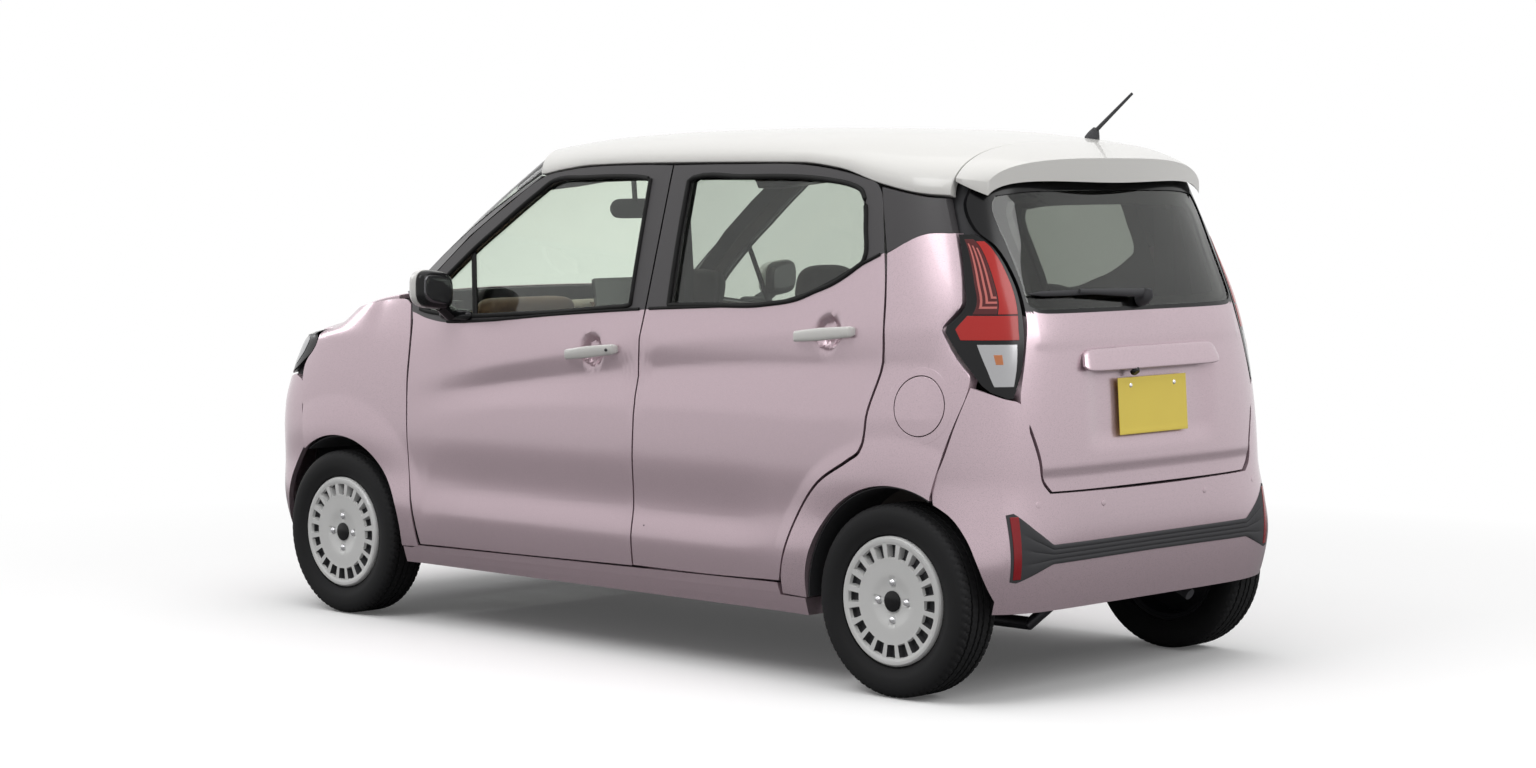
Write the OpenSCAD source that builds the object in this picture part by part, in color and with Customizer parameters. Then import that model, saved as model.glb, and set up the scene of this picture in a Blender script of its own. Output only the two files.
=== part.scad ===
// Kei car, a five-door tall hatchback. Millimetres; front is +X, left +Y, up +Z, ground at Z 0.

/* [Overall] */
// Length over the bumpers
length = 3395; // [3300:5:3500]
// Width of the body without the mirrors
width = 1475; // [1430:5:1520]
// Height of the roof above the ground
height = 1640; // [1600:5:1700]
// Distance between the axles
wheelbase = 2495; // [2420:5:2560]
// Front axle to the nose
front_overhang = 502.5; // [490:2.5:530]
// Height of the sill's lower edge
sill_z = 205; // [190:1:220]
// Height of the glass line near the middle of the side
belt_z = 1050; // [1030:1:1070]

/* [Shell] */
// Depth of the fold below the shoulder line
crease_depth = 10; // [0:0.5:14]
// Stand-out of the wheel-arch lips
flare = 8; // [0:0.5:12]
// Radius of the wheel-arch openings
arch_r = 328; // [324:1:336]
// Shut gap between panels
gap = 5; // [5:0.5:7]
// Thickness of the doors below the glass
door_t = 105; // [90:1:115]
// Thickness of the door frames round the glass
frame_t = 36; // [30:1:42]
// Thickness of the roof and bonnet panels
panel_t = 26; // [20:1:32]
// Thickness of the window glass
glass_t = 4; // [3:0.5:6]

/* [Wheels] */
// Outer radius of the tyres
tyre_r = 278.5; // [270:0.5:284]
// Width of the tyres
tyre_w = 155; // [145:1:165]
// Radius of the rim's bead seat
rim_r = 178; // [170:1:182]
// Distance between the wheel centres of one axle
track = 1300; // [1285:1:1310]
// Radius of the wheel spindles
spindle_r = 20; // [16:0.5:24]
// Radius of the kingpins
kingpin_r = 11; // [9:0.5:14]
// Vents round each wheel cover
vents = 20; // [12:1:28]

/* [Cabin] */
// Height of the front seat cushions
cushion_z = 520; // [500:5:540]
// Radius of the steering wheel's rim
wheel_rim_r = 178; // [165:1:185]
// Distance of the seat centres from the middle of the car
seat_y = 310; // [300:5:320]

/* [Hidden] */
F = length/2 - front_overhang;
R = F - wheelbase;
M = (F + R)/2;
nose = length/2;
tail = -length/2;
top = height;
belt = belt_z;
wheel_y = track/2;
kingpin_y = wheel_y - 52;
run = 0.05;
ease_gap = 0.3;
hinge_low = 400;
hinge_high = 700;
hinge_r = 6;
$fa = 9;
$fs = 3;
SIDE_INSET = [[150, 66], [210, 38], [300, 15], [395, 7.5], [500, 14], [640, 8], [800, 10], [950, 18], [belt, 33],
    [belt + 200, 74], [top - 190, 122], [top - 110, 143], [top, 178]];
REAR_INSET = [[150, 90], [250, 30], [400, 3], [470, 0], [600, 4], [800, 12], [1000, 29], [1100, 48], [1300, 125],
    [top - 165, 196], [top - 80, 232], [top, 258]];
FRONT_INSET = [[150, 108], [250, 42], [400, 4], [470, 0], [600, 3], [700, 13], [800, 52], [880, 97], [940, 147],
    [980, 325], [1056, 455], [1110, 620]];

// Plain numbers
function mix(a, b, t) = a + (b - a)*t;
function ease(a, b, t) = let (k = min(1, max(0, (t - a)/(b - a)))) k*k*(3 - 2*k);
// Slope of a table of [key, value] rows at row i, without overshoot
function secant(tab, i) = (tab[i + 1][1] - tab[i][1])/(tab[i + 1][0] - tab[i][0]);
function slope(tab, i) = i == 0 ? secant(tab, 0) : i == len(tab) - 1 ? secant(tab, i - 1) :
    let (p = secant(tab, i - 1), q = secant(tab, i)) p*q <= 0 ? 0 : 2*p*q/(p + q);
// Smooth curve through a table, held level past its ends
function curve(tab, key) = let (n = len(tab), k = min(tab[n - 1][0], max(tab[0][0], key)),
    i = min(n - 2, max([for (j = [0:n - 1]) if (tab[j][0] <= k) j])), h = tab[i + 1][0] - tab[i][0],
    t = (k - tab[i][0])/h, a = slope(tab, i)*h, b = slope(tab, i + 1)*h, d = tab[i + 1][1] - tab[i][1])
    tab[i][1] + t*(a + t*(3*d - 2*a - b + t*(a + b - 2*d)));

// Body shell: plan outline at each height, then the fold, the lower step and the arch lips
function half_w(z) = width/2 - curve(SIDE_INSET, z);
function rear_a(z) = -tail - curve(REAR_INSET, z);
function front_a(z) = nose - curve(FRONT_INSET, z);
function rear_m(z) = mix(5.5, 4, ease(600, 1100, z));
function rear_n(z) = mix(26, 13, ease(380, 640, z));
function plan_y(x, z) = x < 0 ? half_w(z)*pow(1 - pow(min(0.9999, -x/rear_a(z)), rear_n(z)), 1/rear_m(z)) :
    half_w(z)*pow(1 - pow(min(0.9999, x/front_a(z)), 18), 1/3.4) - 15*ease(900, 1150, z)*pow(x/900, 2)*
    (1 - ease(1000, 1060, x));
function crease_z(x) = mix(1060, 826, (x - R + 148)/(F - R - 229));
function fold(x, z) = let (s = z - crease_z(x), a = crease_depth*ease(F - 330, F - 800, x)*ease(R - 200, R - 100, x))
    -a*(s > 0 ? 0 : s > -75 ? ease(0, -75, s) : 1 - ease(-75, -330, s));
function lip(x, z, axle) = flare*(1 - ease(arch_r, arch_r + 140, norm([x - axle, z - tyre_r])));
function skin_y(x, z) = plan_y(x, z) + fold(x, z) + lip(x, z, F) + lip(x, z, R);
function side(x, z, d = 0) = [x, skin_y(x, z) - d, z];
// Points on the ends, by the angle round the plan outline: 90 is the middle
function rear_at(t, z, d = 0) = [-(rear_a(z) - d*pow(sin(t), 4))*pow(sin(t), 2/rear_n(z)), (half_w(z) - d*pow(cos(t), 2))*pow(abs(cos(t)), 2/rear_m(z))*
    sign(cos(t)), z];
function rear_by_x(x, z) = asin(pow(-x/rear_a(z), rear_n(z)/2));
function rear_by_y(y, z) = acos(pow(y/half_w(z), rear_m(z)/2));
function front_at(t, z, d = 0) = [(front_a(z) - d*pow(sin(t), 4))*pow(sin(t), 2/18), (half_w(z) - d*pow(cos(t), 2))*pow(abs(cos(t)), 2/3.4)*
    sign(cos(t)), z];
function front_by_x(x, z) = asin(pow(x/front_a(z), 9));
function front_by_y(y, z) = acos(pow(y/half_w(z), 1.7));
function arch(axle, deg, r = arch_r) = [axle + r*cos(deg), tyre_r + 4 + r*sin(deg)];

// Grids and solids
function densify(rows, n, closed) = concat([for (i = [0:len(rows) - (closed ? 1 : 2)], k = [0:n - 1])
    mix(rows[i], rows[(i + 1)%len(rows)], k/n)], closed ? [] : [rows[len(rows) - 1]]);
function span(rows, n, f) = [for (r = rows) [for (k = [0:n]) f(mix(r[0], r[2], k/n), mix(r[1], r[3], k/n))]];
function pull(r, d) = let (u = [r[2] - r[0], r[3] - r[1]], k = max(0.2, 1 - d/norm(u)))
    [r[0], r[1], r[0] + u[0]*k, r[1] + u[1]*k];
function mirrored(rows) = concat(rows, [for (i = [len(rows) - 2:-1:0]) let (r = rows[i]) [180 - r[0], r[1],
    180 - r[2], r[3]]]);

// Solid between an outer and an inner grid of points; wrap joins the last row to the first
module slab(outer, inner, wrap = false, flip = false) {
    r = len(outer);
    c = len(outer[0]);
    n = r*c;
    last = wrap ? r - 1 : r - 2;
    function at(i, j) = (i%r)*c + j;
    quads = concat(
        [for (i = [0:last], j = [0:c - 2]) [at(i, j), at(i + 1, j), at(i + 1, j + 1), at(i, j + 1)]],
        [for (i = [0:last], j = [0:c - 2]) [n + at(i, j), n + at(i, j + 1), n + at(i + 1, j + 1), n + at(i + 1, j)]],
        [for (i = [0:last]) [at(i, 0), n + at(i, 0), n + at(i + 1, 0), at(i + 1, 0)]],
        [for (i = [0:last]) [at(i, c - 1), at(i + 1, c - 1), n + at(i + 1, c - 1), n + at(i, c - 1)]],
        wrap ? [] : [for (j = [0:c - 2]) [at(0, j), at(0, j + 1), n + at(0, j + 1), n + at(0, j)]],
        wrap ? [] : [for (j = [0:c - 2]) [at(r - 1, j), n + at(r - 1, j), n + at(r - 1, j + 1), at(r - 1, j + 1)]]);
    tris = [for (q = quads) each [[q[0], q[1], q[2]], [q[0], q[2], q[3]]]];
    polyhedron(concat([for (row = outer) each row], [for (row = inner) each row]),
        flip ? [for (t = tris) [t[2], t[1], t[0]]] : tris);
}
// Pane filling a closed loop of [x, z] points, set d below the skin
module pane(loop, d, f, flip = false) {
    n = len(loop);
    mid = [for (k = [0:1]) [for (p = loop) p[k]]*[for (p = loop) 1]/n];
    inset = [for (p = loop) let (u = mid - p) p + u*(ease_gap + 0.1)/norm(u)];
    pts = concat([for (p = inset) f(p[0], p[1], d)], [for (p = inset) f(p[0], p[1], d + glass_t)],
        [f(mid[0], mid[1], d), f(mid[0], mid[1], d + glass_t)]);
    tris = [for (i = [0:n - 1]) let (k = (i + 1)%n) each [[i, k, 2*n], [n + k, n + i, 2*n + 1], [k, i, n + i],
        [k, n + i, n + k]]];
    polyhedron(pts, flip ? [for (t = tris) [t[2], t[1], t[0]]] : tris);
}
module box(a, b) { translate(a) cube(b - a); }
module rod(p, q, r) {
    d = q - p;
    translate(p) rotate([0, acos(d[2]/norm(d)), atan2(d[1], d[0])]) cylinder(r = r, h = norm(d));
}
module right() { mirror([0, 1, 0]) children(); }
module both() { children(); right() children(); }

// Door outlines: [window x, window z, edge x, edge z] round the door, front foot first
FRONT_DOOR = [[F - 595, belt - 14, F - 420, sill_z + 67], [F - 495, belt - 9, F - 371, 524],
    [F - 435, belt - 4, F - 365, 760], [F - 405, belt + 2, F - 373, belt - 48], [F - 407, belt + 6, F - 345, belt + 28],
    [F - 610, top - 404, F - 595, top - 351], [F - 732, top - 320, F - 755, top - 245],
    [F - 895, top - 210, F - 910, top - 154], [F - 960, top - 172, F - 1005, top - 135],
    [F - 1095, top - 162, F - 1125, top - 123], [M - 97, top - 158, M - 128, top - 117],
    [M - 150, top - 164, M - 241, top - 118], [M - 150, top - 360, M - 233, top - 350],
    [M - 148, belt + 45, M - 219, belt + 30], [M - 128, belt + 40, M - 208, belt - 60],
    [M - 68, belt + 35, M - 190, 700], [M - 8, belt + 30, M - 184, 520], [M + 52, belt + 25, M - 181, 385],
    [M + 112, belt + 20, M - 180, sill_z + 84], [M + 302, belt + 8, M + 322, sill_z + 74]];
REAR_DOOR = [[M - 448, belt + 54, M - 181 - gap - 1.4, sill_z + 86], [M - 388, belt + 51, M - 181 - gap - 1.4, 385],
    [M - 348, belt + 50, M - 184 - gap - 1.4, 520], [M - 328, belt + 49, M - 190 - gap - 1.4, 700],
    [M - 326, belt + 50, M - 208 - gap - 1.4, belt - 60], [M - 326, belt + 80, M - 219 - gap - 1.4, belt + 30],
    [M - 326, top - 350, M - 233 - gap - 1.4, top - 350], [M - 327, top - 170, M - 241 - gap - 1.4, top - 118],
    [M - 348, top - 159, M - 368, top - 116], [M - 548, top - 158, M - 548, top - 115],
    [R + 463, top - 159, R + 474, top - 116], [R + 342, top - 167, R + 311, top - 134],
    [R + 240, top - 184, R + 210, top - 156], [R + 210, top - 200, R + 148, top - 178],
    [R + 175, top - 305, R + 105, top - 295], [R + 164, top - 392, R + 88, top - 364],
    [R + 190, top - 414, R + 62, 1150], [R + 268, top - 459, R + 54, 960], [R + 340, belt + 105, R + 95, 820],
    [R + 400, belt + 84, R + 120, 706], [R + 440, belt + 76, R + 160, 678], [R + 480, belt + 71, R + 281, 604],
    [R + 520, belt + 67, R + 363, 503], [R + 560, belt + 63, R + 414, 389], [R + 610, belt + 60, R + 438, sill_z + 95],
    [R + 700, belt + 57, R + 740, sill_z + 87]];
FRONT_HINGE = [F - 420, skin_y(F - 420, hinge_low) - 17];
REAR_HINGE = [M - 238, skin_y(M - 238, hinge_low) - 17];

function door_depth(z) = mix(frame_t, door_t, ease(belt + 25, belt - 60, z));
module door(rows, hinge, n) {
    fine = densify(rows, n, true);
    difference() {
        slab(span(fine, 6, function(x, z) side(x, z)), span([for (r = fine) pull(r, 14)], 6,
            function(x, z) side(x, z, door_depth(z))), wrap = true, flip = true);
        for (z = [hinge_low, hinge_high])
            box([hinge[0] - 13, hinge[1] - 150, z - 25], [hinge[0] + 90, hinge[1] + 11.5, z + 25]);
    }
    for (z = [hinge_low, hinge_high])
        translate([hinge[0], hinge[1], z - 25.5]) cylinder(r = hinge_r, h = 51);
}
module hinge_arms(hinge, inner_y) {
    for (z = [hinge_low, hinge_high]) difference() {
        union() {
            translate([hinge[0], hinge[1], z - 20]) cylinder(r = 10.5, h = 40);
            box([hinge[0] - 8, inner_y, z - 20], [hinge[0] + 8, hinge[1] - 5, z + 20]);
        }
        translate([hinge[0], hinge[1], z - 21]) cylinder(r = hinge_r + run, h = 42);
    }
}
module door_front() { color("thistle") door(FRONT_DOOR, FRONT_HINGE, 2); }
module door_rear() { color("thistle") door(REAR_DOOR, REAR_HINGE, 1); }
module door_front_left() { door_front(); }
module door_front_right() { right() door_front(); }
module door_rear_left() { door_rear(); }
module door_rear_right() { right() door_rear(); }

function window(rows) = [for (r = densify(rows, 2, true)) [r[0], r[1]]];
module glass(rows) { color("darkslategray") pane(window(rows), 14, function(x, z, d) side(x, z, d)); }
module glass_front_left() { glass(FRONT_DOOR); }
module glass_front_right() { right() glass(FRONT_DOOR); }
module glass_rear_left() { glass(REAR_DOOR); }
module glass_rear_right() { right() glass(REAR_DOOR); }

// Pull handle standing off the skin on two feet, rising towards the back
module handle(x, z, rise, len, sink) {
    color("white") {
        grid = [for (k = [0:6]) let (t = k/6, px = x - len*t, pz = z + rise*t, h = 15 - 4*abs(2*t - 1))
            [for (s = [-1, 1]) [px, skin_y(px, pz + s*h) + 34 - 14*pow(2*t - 1, 2), pz + s*h]]];
        inner = [for (k = [0:6]) [for (j = [0:1]) grid[k][j] - [0, k == 0 || k == 6 ? 19.6 + sink - ease_gap :
            k == 1 || k == 5 ? 19.8 : 14, 0]]];
        slab(grid, inner, flip = true);
    }
}
module handle_front_left() { handle(M + 108, 930, 26, 226, 0.2); }
module handle_front_right() { right() handle_front_left(); }
module handle_rear_left() { handle(R + 383, 1022, 22, 230, 0.9); }
module handle_rear_right() { right() handle_rear_left(); }

module mirror_left() {
    color("white") {
        hull() {
            translate([F - 600, 762, belt + 25]) sphere(r = 24, $fn = 14);
            translate([F - 600, 868, belt + 35]) sphere(r = 24, $fn = 14);
            translate([F - 600, 762, belt + 108]) sphere(r = 26, $fn = 14);
            translate([F - 608, 868, belt + 112]) sphere(r = 24, $fn = 14);
            translate([F - 640, 762, belt + 30]) cube([8, 110, 90]);
        }
        y0 = max([for (x = [F - 600, F - 540], z = [belt - 52, belt - 22]) skin_y(x, z)]);
        hull() {
            box([F - 600, y0 - 1.4, belt - 52], [F - 540, y0 + 12, belt - 22]);
            box([F - 610, 758, belt + 6], [F - 575, 775, belt + 20]);
        }
    }
}
module mirror_right() { right() mirror_left(); }

// Fender: from the wheel arch out to the door, bonnet, lamp and bumper; [angle, outer x, outer z]
FENDER = [[184, F - 366, sill_z + 58], [173, F - 364, 420], [161, F - 358, 620], [149, F - 359, 800],
    [137, F - 366, belt - 80], [126, F - 344, belt + 14], [118, F - 318, belt + 27], [112, F - 240, belt + 27], [106, F - 115, belt + 8],
    [98, F + 5, belt - 18], [90, F + 110, belt - 70], [83, F + 138, belt - 140], [76, F + 200, belt - 208],
    [69, F + 211, 775], [62, F + 202, 690], [55.5, F + 190, 572]];
function fan(rows, axle) = [for (r = rows) let (a = arch(axle, r[0])) [a[0], a[1], r[1], r[2]]];
module front_fenders() {
    rows = densify(fan(FENDER, F), 2, false);
    color("thistle") both() slab(span(rows, 4, function(x, z) side(x, z)),
        span(rows, 4, function(x, z) side(x, z, 14)));
}
// Quarter: from the rear arch out to the door, pillar trim, lamp and bumper
QUARTER = [[-4, R + 431 - gap, sill_z + 58], [8, R + 430 - gap, 322], [20, R + 411.5 - gap, 386.5],
    [33, R + 361.8 - gap, 498], [48, R + 280 - gap, 597], [58, R + 159 - gap, 669.6], [64, R + 117.6 - gap, 697.6],
    [71, R + 91.4 - gap, 819], [80, R + 50.4 - gap, 958], [90, R + 58.4 - gap, 1152],
    [99, R + 80.4 - gap, top - 371], [101, R - 40, top - 316],
    [103.5, R - 126, top - 312], [105.5, R - 172, 1199], [107.5, R - 195, 1100], [109.5, R - 215, 1010],
    [112, R - 240, 918], [114.5, R - 190, 750], [116, R - 141, 588]];
module quarter() {
    rows = densify(fan(QUARTER, R), 2, false);
    color("thistle") difference() {
        slab(span(rows, 4, function(x, z) side(x, z)), span(rows, 4, function(x, z) side(x, z, 70)), flip = true);
        translate([R, 540, 0]) rotate([90, 0, 0]) mirror([0, 0, 1]) linear_extrude(200)
            polygon([[-300, 1130], [-189, 1127], [-142, 1060], [-189, 990], [-229, 941], [-262, 904], [-300, 900]]);
    }
}
lid_c = [R - 91, 841];
lid_pin = [lid_c[0] + 86.5, skin_y(lid_c[0] + 86.5, lid_c[1]) - 2];
module quarter_left() {
    difference() {
        quarter();
        translate([lid_c[0], 668, lid_c[1]]) rotate([-90, 0, 0]) linear_extrude(120)
            polygon([for (k = [0:23]) 91.4*[cos(15*k + 2), sin(15*k + 2)]]);
    }
    color("thistle") {
        translate([lid_pin[0], lid_pin[1], lid_c[1] - 12]) cylinder(r = 2, h = 24);
        box([lid_pin[0], lid_pin[1] - 2, lid_c[1] - 12], [lid_pin[0] + 12, lid_pin[1], lid_c[1] + 12]);
    }
}
module quarter_right() { right() quarter(); }

// Roof: edge height and crown along the car, with a rounded section between
ROOF_EDGE = [[R - 85, top - 205], [R - 20, top - 201], [R + 148, top - 170], [R + 311, top - 126],
    [R + 474, top - 109], [M - 548, top - 108], [M - 128, top - 110], [F - 1125, top - 116], [F - 1005, top - 128],
    [F - 905, top - 145]];
ROOF_CROWN = [[R - 85, top - 50], [R + 41, top - 33], [R + 355, top - 8], [M - 498, top], [M - 220, top - 3],
    [F - 1106, top - 14], [F - 823, top - 40], [F - 715, top - 78]];
function roof_half(x) = skin_y(x, curve(ROOF_EDGE, x));
function roof_z(x, s) = let (e = curve(ROOF_EDGE, x)) e + (curve(ROOF_CROWN, x) - e)*sqrt(1 - pow(abs(s), 3.5));
function roof_at(x, s, d = 0) = [x, s*(roof_half(x) - d*pow(abs(s), 4)), roof_z(x, s) - d*(1 - 0.7*pow(abs(s), 4))];
function roof_front(s) = F - 892 + 180*(1 - s*s);
roof_back = R - 85;
roof_pin = [roof_back - 3, roof_z(roof_back, 0.2)];
// Seat of the roof on the side frame, on the roof's own stations
function roof_seat(s, k) = roof_at(mix(roof_front(s), roof_back, k/12), s, panel_t) - [0, 0, 0.8];
ACROSS = [-1, -0.985, -0.94, -0.86, -0.72, -0.5, -0.25, 0, 0.25, 0.5, 0.72, 0.86, 0.94, 0.985, 1];
module roof_panel() {
    color("whitesmoke") {
        slab([for (s = ACROSS) [for (k = [0:12]) roof_at(mix(roof_front(s), roof_back, k/12), s)]],
            [for (s = ACROSS) [for (k = [0:12]) roof_at(mix(roof_front(s), roof_back, k/12), s, panel_t)]], flip = true);
        for (y = [-150, 90]) {
            translate([roof_pin[0], y, roof_pin[1]]) rotate([-90, 0, 0]) cylinder(r = 2.2, h = 60);
            box([roof_pin[0], y, roof_pin[1] - 2.2], [roof_back + 6, y + 60, roof_pin[1] - 0.4]);
        }
    }
}
// Windscreen from the cowl to the roof, with an even bulge
function screen_at(s, v, d = 0) = let (foot = [F - 208 - 72*s*s, 648*s, belt + 56 - 4*s*s],
    xt = roof_front(s) + gap, head = [xt, s*(roof_half(min(xt, F - 905)) - 8), roof_z(xt, s) - 4],
    b = 22*sin(180*v) - d) mix(foot, head, v) + [0.6*b, 0, 0.8*b];
module windscreen() {
    color("darkslategray") slab([for (k = [0:8]) [for (v = [0:6]) screen_at(0.9985*(k/4 - 1), v/6.02)]],
        [for (k = [0:8]) [for (v = [0:6]) screen_at(0.9985*(k/4 - 1), v/6.02, glass_t + 1)]], flip = true);
}
// Bonnet: edge and crown along the car
BONNET_EDGE = [[F - 255, belt + 42], [F - 195, belt + 36], [F - 21, belt + 3], [F + 113, belt - 69], [F + 205, belt - 84],
    [F + 275, belt - 94], [F + 365, belt - 120], [F + 433, belt - 145]];
BONNET_CROWN = [[F - 255, belt + 64], [F - 195, belt + 60], [F - 21, belt + 42], [F + 113, belt + 8],
    [F + 275, belt - 47], [F + 365, belt - 88], [F + 433, belt - 135]];
BONNET_HALF = [[F - 255, 652], [F - 195, 645], [F - 21, 611], [F + 113, 591], [F + 275, 567], [F + 433, 527]];
function bonnet_at(x, s, d = 0) = [x, s*curve(BONNET_HALF, x), mix(curve(BONNET_EDGE, x), curve(BONNET_CROWN, x),
    pow(1 - pow(abs(s), 2.4), 0.8)) - d];
function bonnet_x(s, v) = mix(F - 175 - 58*s*s, F + 430 - 158*pow(abs(s), 3), v);
bonnet_pin = [F - 135, belt + 17];
module bonnet() {
    cols = [-1, -0.93, -0.8, -0.6, -0.3, 0, 0.3, 0.6, 0.8, 0.93, 1];
    color("thistle") {
        slab([for (s = cols) [for (k = [0:9]) bonnet_at(bonnet_x(s, k/9), s)]],
            [for (s = cols) [for (k = [0:9]) bonnet_at(bonnet_x(s, k/9), s, panel_t - 8)]]);
        both() difference() {
            union() {
                translate([bonnet_pin[0], 384, bonnet_pin[1]]) rotate([-90, 0, 0]) cylinder(r = 11, h = 14);
                box([bonnet_pin[0], 384, bonnet_pin[1] - 8], [bonnet_pin[0] + 60, 398, bonnet_pin[1] + 8]);
                box([bonnet_pin[0] + 10, 384, bonnet_pin[1] - 8], [bonnet_pin[0] + 60, 398, belt + 28]);
            }
            translate([bonnet_pin[0], 380, bonnet_pin[1]]) rotate([-90, 0, 0]) cylinder(r = hinge_r + run, h = 22);
        }
    }
}

// Front bumper: [angle, z] of the upper and the lower edge, side first
FRONT_BUMPER = [[front_by_x(F + 196, 605), 605, front_by_x(F + 194, 566), 566],
    [front_by_x(F + 208, 690), 690, front_by_x(F + 232, 525), 525],
    [front_by_x(F + 217, 790), 790, front_by_x(F + 282, 455), 455],
    [front_by_x(F + 262, 806), 806, front_by_x(F + 316, 355), 355],
    [front_by_x(F + 306, 798), 798, front_by_x(F + 327, 262), 262],
    [front_by_x(F + 360, 786), 786, front_by_y(668, 250), 250],
    [front_by_y(560, 778), 778, front_by_y(600, 240), 240],
    [front_by_y(440, 774), 774, front_by_y(450, 236), 236],
    [front_by_y(220, 771), 771, front_by_y(220, 232), 232], [90, 770, 90, 230]];
module front_bumper() {
    rows = densify(mirrored(FRONT_BUMPER), 2, false);
    color("thistle") difference() {
        slab(span(rows, 5, function(t, z) front_at(t, z)), span(rows, 5, function(t, z) front_at(t, z, 22)),
            flip = true);
        box([nose - 120, -330, 320], [nose + 20, 330, 420]);
    }
}
REAR_BUMPER = [[rear_by_x(R - 154, 590), 590, rear_by_x(R - 158, 566), 566],
    [rear_by_x(R - 182, 686), 686, rear_by_x(R - 205, 538), 538],
    [rear_by_x(R - 216, 790), 790, rear_by_x(R - 256, 486), 486],
    [rear_by_x(R - 249, 898), 898, rear_by_x(R - 296, 416), 416],
    [rear_by_x(R - 284, 882), 882, rear_by_x(R - 320, 332), 332],
    [rear_by_x(R - 316, 866), 866, rear_by_x(R - 331, 266), 266],
    [rear_by_y(566, 858), 858, rear_by_y(650, 264), 264], [rear_by_y(536, 770), 770, rear_by_y(590, 262), 262],
    [rear_by_y(512, 690), 690, rear_by_y(540, 261), 261], [rear_by_y(500, 625), 625, rear_by_y(485, 260), 260],
    [rear_by_y(474, 596), 596, rear_by_y(430, 260), 260], [rear_by_y(235, 592), 592, rear_by_y(215, 260), 260],
    [90, 590, 90, 260]];
module rear_bumper() {
    rows = densify(mirrored(REAR_BUMPER), 2, false);
    color("thistle") slab(span(rows, 5, function(t, z) rear_at(t, z)), span(rows, 5,
        function(t, z) rear_at(t, z, 22)));
}
// Ribbed trim bar with an upright reflector at each end, laid on the bumper: [y, low z, high z]
TRIM = [[0, 400, 452], [240, 399, 452], [470, 397, 452], [540, 372, 500], [600, 352, 548], [622, 356, 544]];
module bumper_trim() {
    rows = [for (r = concat([for (i = [5:-1:1]) [-TRIM[i][0], TRIM[i][1], TRIM[i][2]]], TRIM))
        let (t = function(z) r[0] < 0 ? 180 - rear_by_y(-r[0], z) : rear_by_y(r[0], z)) [t(r[2]), r[2], t(r[1]), r[1]]];
    fine = densify(rows, 2, false);
    color("dimgray") slab(span(fine, 3, function(t, z) rear_at(t, z, -9)),
        span(fine, 3, function(t, z) rear_at(t, z, -ease_gap - 1.9)), flip = true);
}
// Tail lamps by height: [z, x of the outer edge, y of the inner edge]
TAIL_LAMP = [[866, R - 322, 576], [890, R - 282, 565], [950, R - 235, 541], [1000, R - 196, 527], [1060, R - 151, 516],
    [1122, R - 197, 510], [1190, R - 181, 508], [1290, R - 148, 528], [1326, R - 133, 556]];
module tail_lamps() {
    rows = densify([for (r = TAIL_LAMP) [rear_by_x(r[1], r[0]), r[0], rear_by_y(r[2], r[0]), r[0]]], 1, false);
    color("darkred") both() slab(span(rows, 6, function(t, z) rear_at(t, z)), span(rows, 6,
        function(t, z) rear_at(t, z, 15)));
}
// Head lamps: [z and x of the outer edge, z and y of the inner edge]
HEAD_LAMP = [[803, F + 345, 803, 462], [825, F + 275, 820, 448], [860, F + 205, 844, 438], [900, F + 150, 872, 434],
    [935, F + 144, 896, 440], [962, F + 146, 918, 470]];
module headlamps() {
    rows = densify([for (r = HEAD_LAMP) [front_by_x(r[1], r[0]), r[0], front_by_y(r[3], r[2]), r[2]]], 2, false);
    color("lightgray") both() slab(span(rows, 6, function(t, z) front_at(t, z)), span(rows, 6,
        function(t, z) front_at(t, z, 15)), flip = true);
}
module grille() {
    rows = [for (y = [-428, -300, -150, 0, 150, 300, 428]) let (t = function(z) y < 0 ? 180 - front_by_y(-y, z) :
        front_by_y(y, z)) [t(902), 902, t(777), 777]];
    color("dimgray") {
        slab(span(rows, 4, function(t, z) front_at(t, z, 6)), span(rows, 4, function(t, z) front_at(t, z, 30)));
        for (z = [332, 358, 384]) box([nose - 60, -329.5, z], [nose - 40, 329.5, z + 12]);
        box([nose - 68, -345, 310], [nose - 60, 345, 430]);
    }
}
// Dark trim over the rear pillar, between the door frame, roof and lamp
PILLAR = [[R + 136, top - 182, R + 77, top - 369.4], [R + 60, top - 197, R + 18.5, top - 342.4],
    [R - 20, top - 210, R - 40, top - 315.4], [R - 76, top - 214, R - 118, top - 311.7]];
module pillar_trims() {
    rows = densify(PILLAR, 2, false);
    color("dimgray") both() slab(span(rows, 2, function(x, z) side(x, z)), span(rows, 2,
        function(x, z) side(x, z, 30)));
}

// Tailgate: [window y, window z, edge y, edge z], half outline from the foot up, then mirrored
TAILGATE = [[150, 1112, 150, 600], [330, 1112, 330, 601], [430, 1113, 462, 603], [458, 1115, 492, 640],
    [470, 1118, 503, 700], [478, 1122, 528, 780], [484, 1128, 555, 855], [487, 1140, 528, 960], [487, 1160, 505, 1050],
    [486, 1200, 497, 1140], [487, 1240, 497, 1200], [490, 1300, 515, 1290], [495, 1360, 545, 1334],
    [490, 1406, 545, 1408], [470, top - 206, 516, top - 180], [380, top - 196, 400, top - 150],
    [150, top - 192, 150, top - 140]];
function gate_rows() = concat(TAILGATE, [for (i = [len(TAILGATE) - 1:-1:0]) let (r = TAILGATE[i])
    [-r[0], r[1], -r[2], r[3]]]);
function gate_at(y, z, d = 0) = let (k = rear_a(z)*pow(1 - pow(min(0.98, abs(y)/half_w(z)), rear_m(z)), 1/rear_n(z)))
    [-k + d, y, z];
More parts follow.
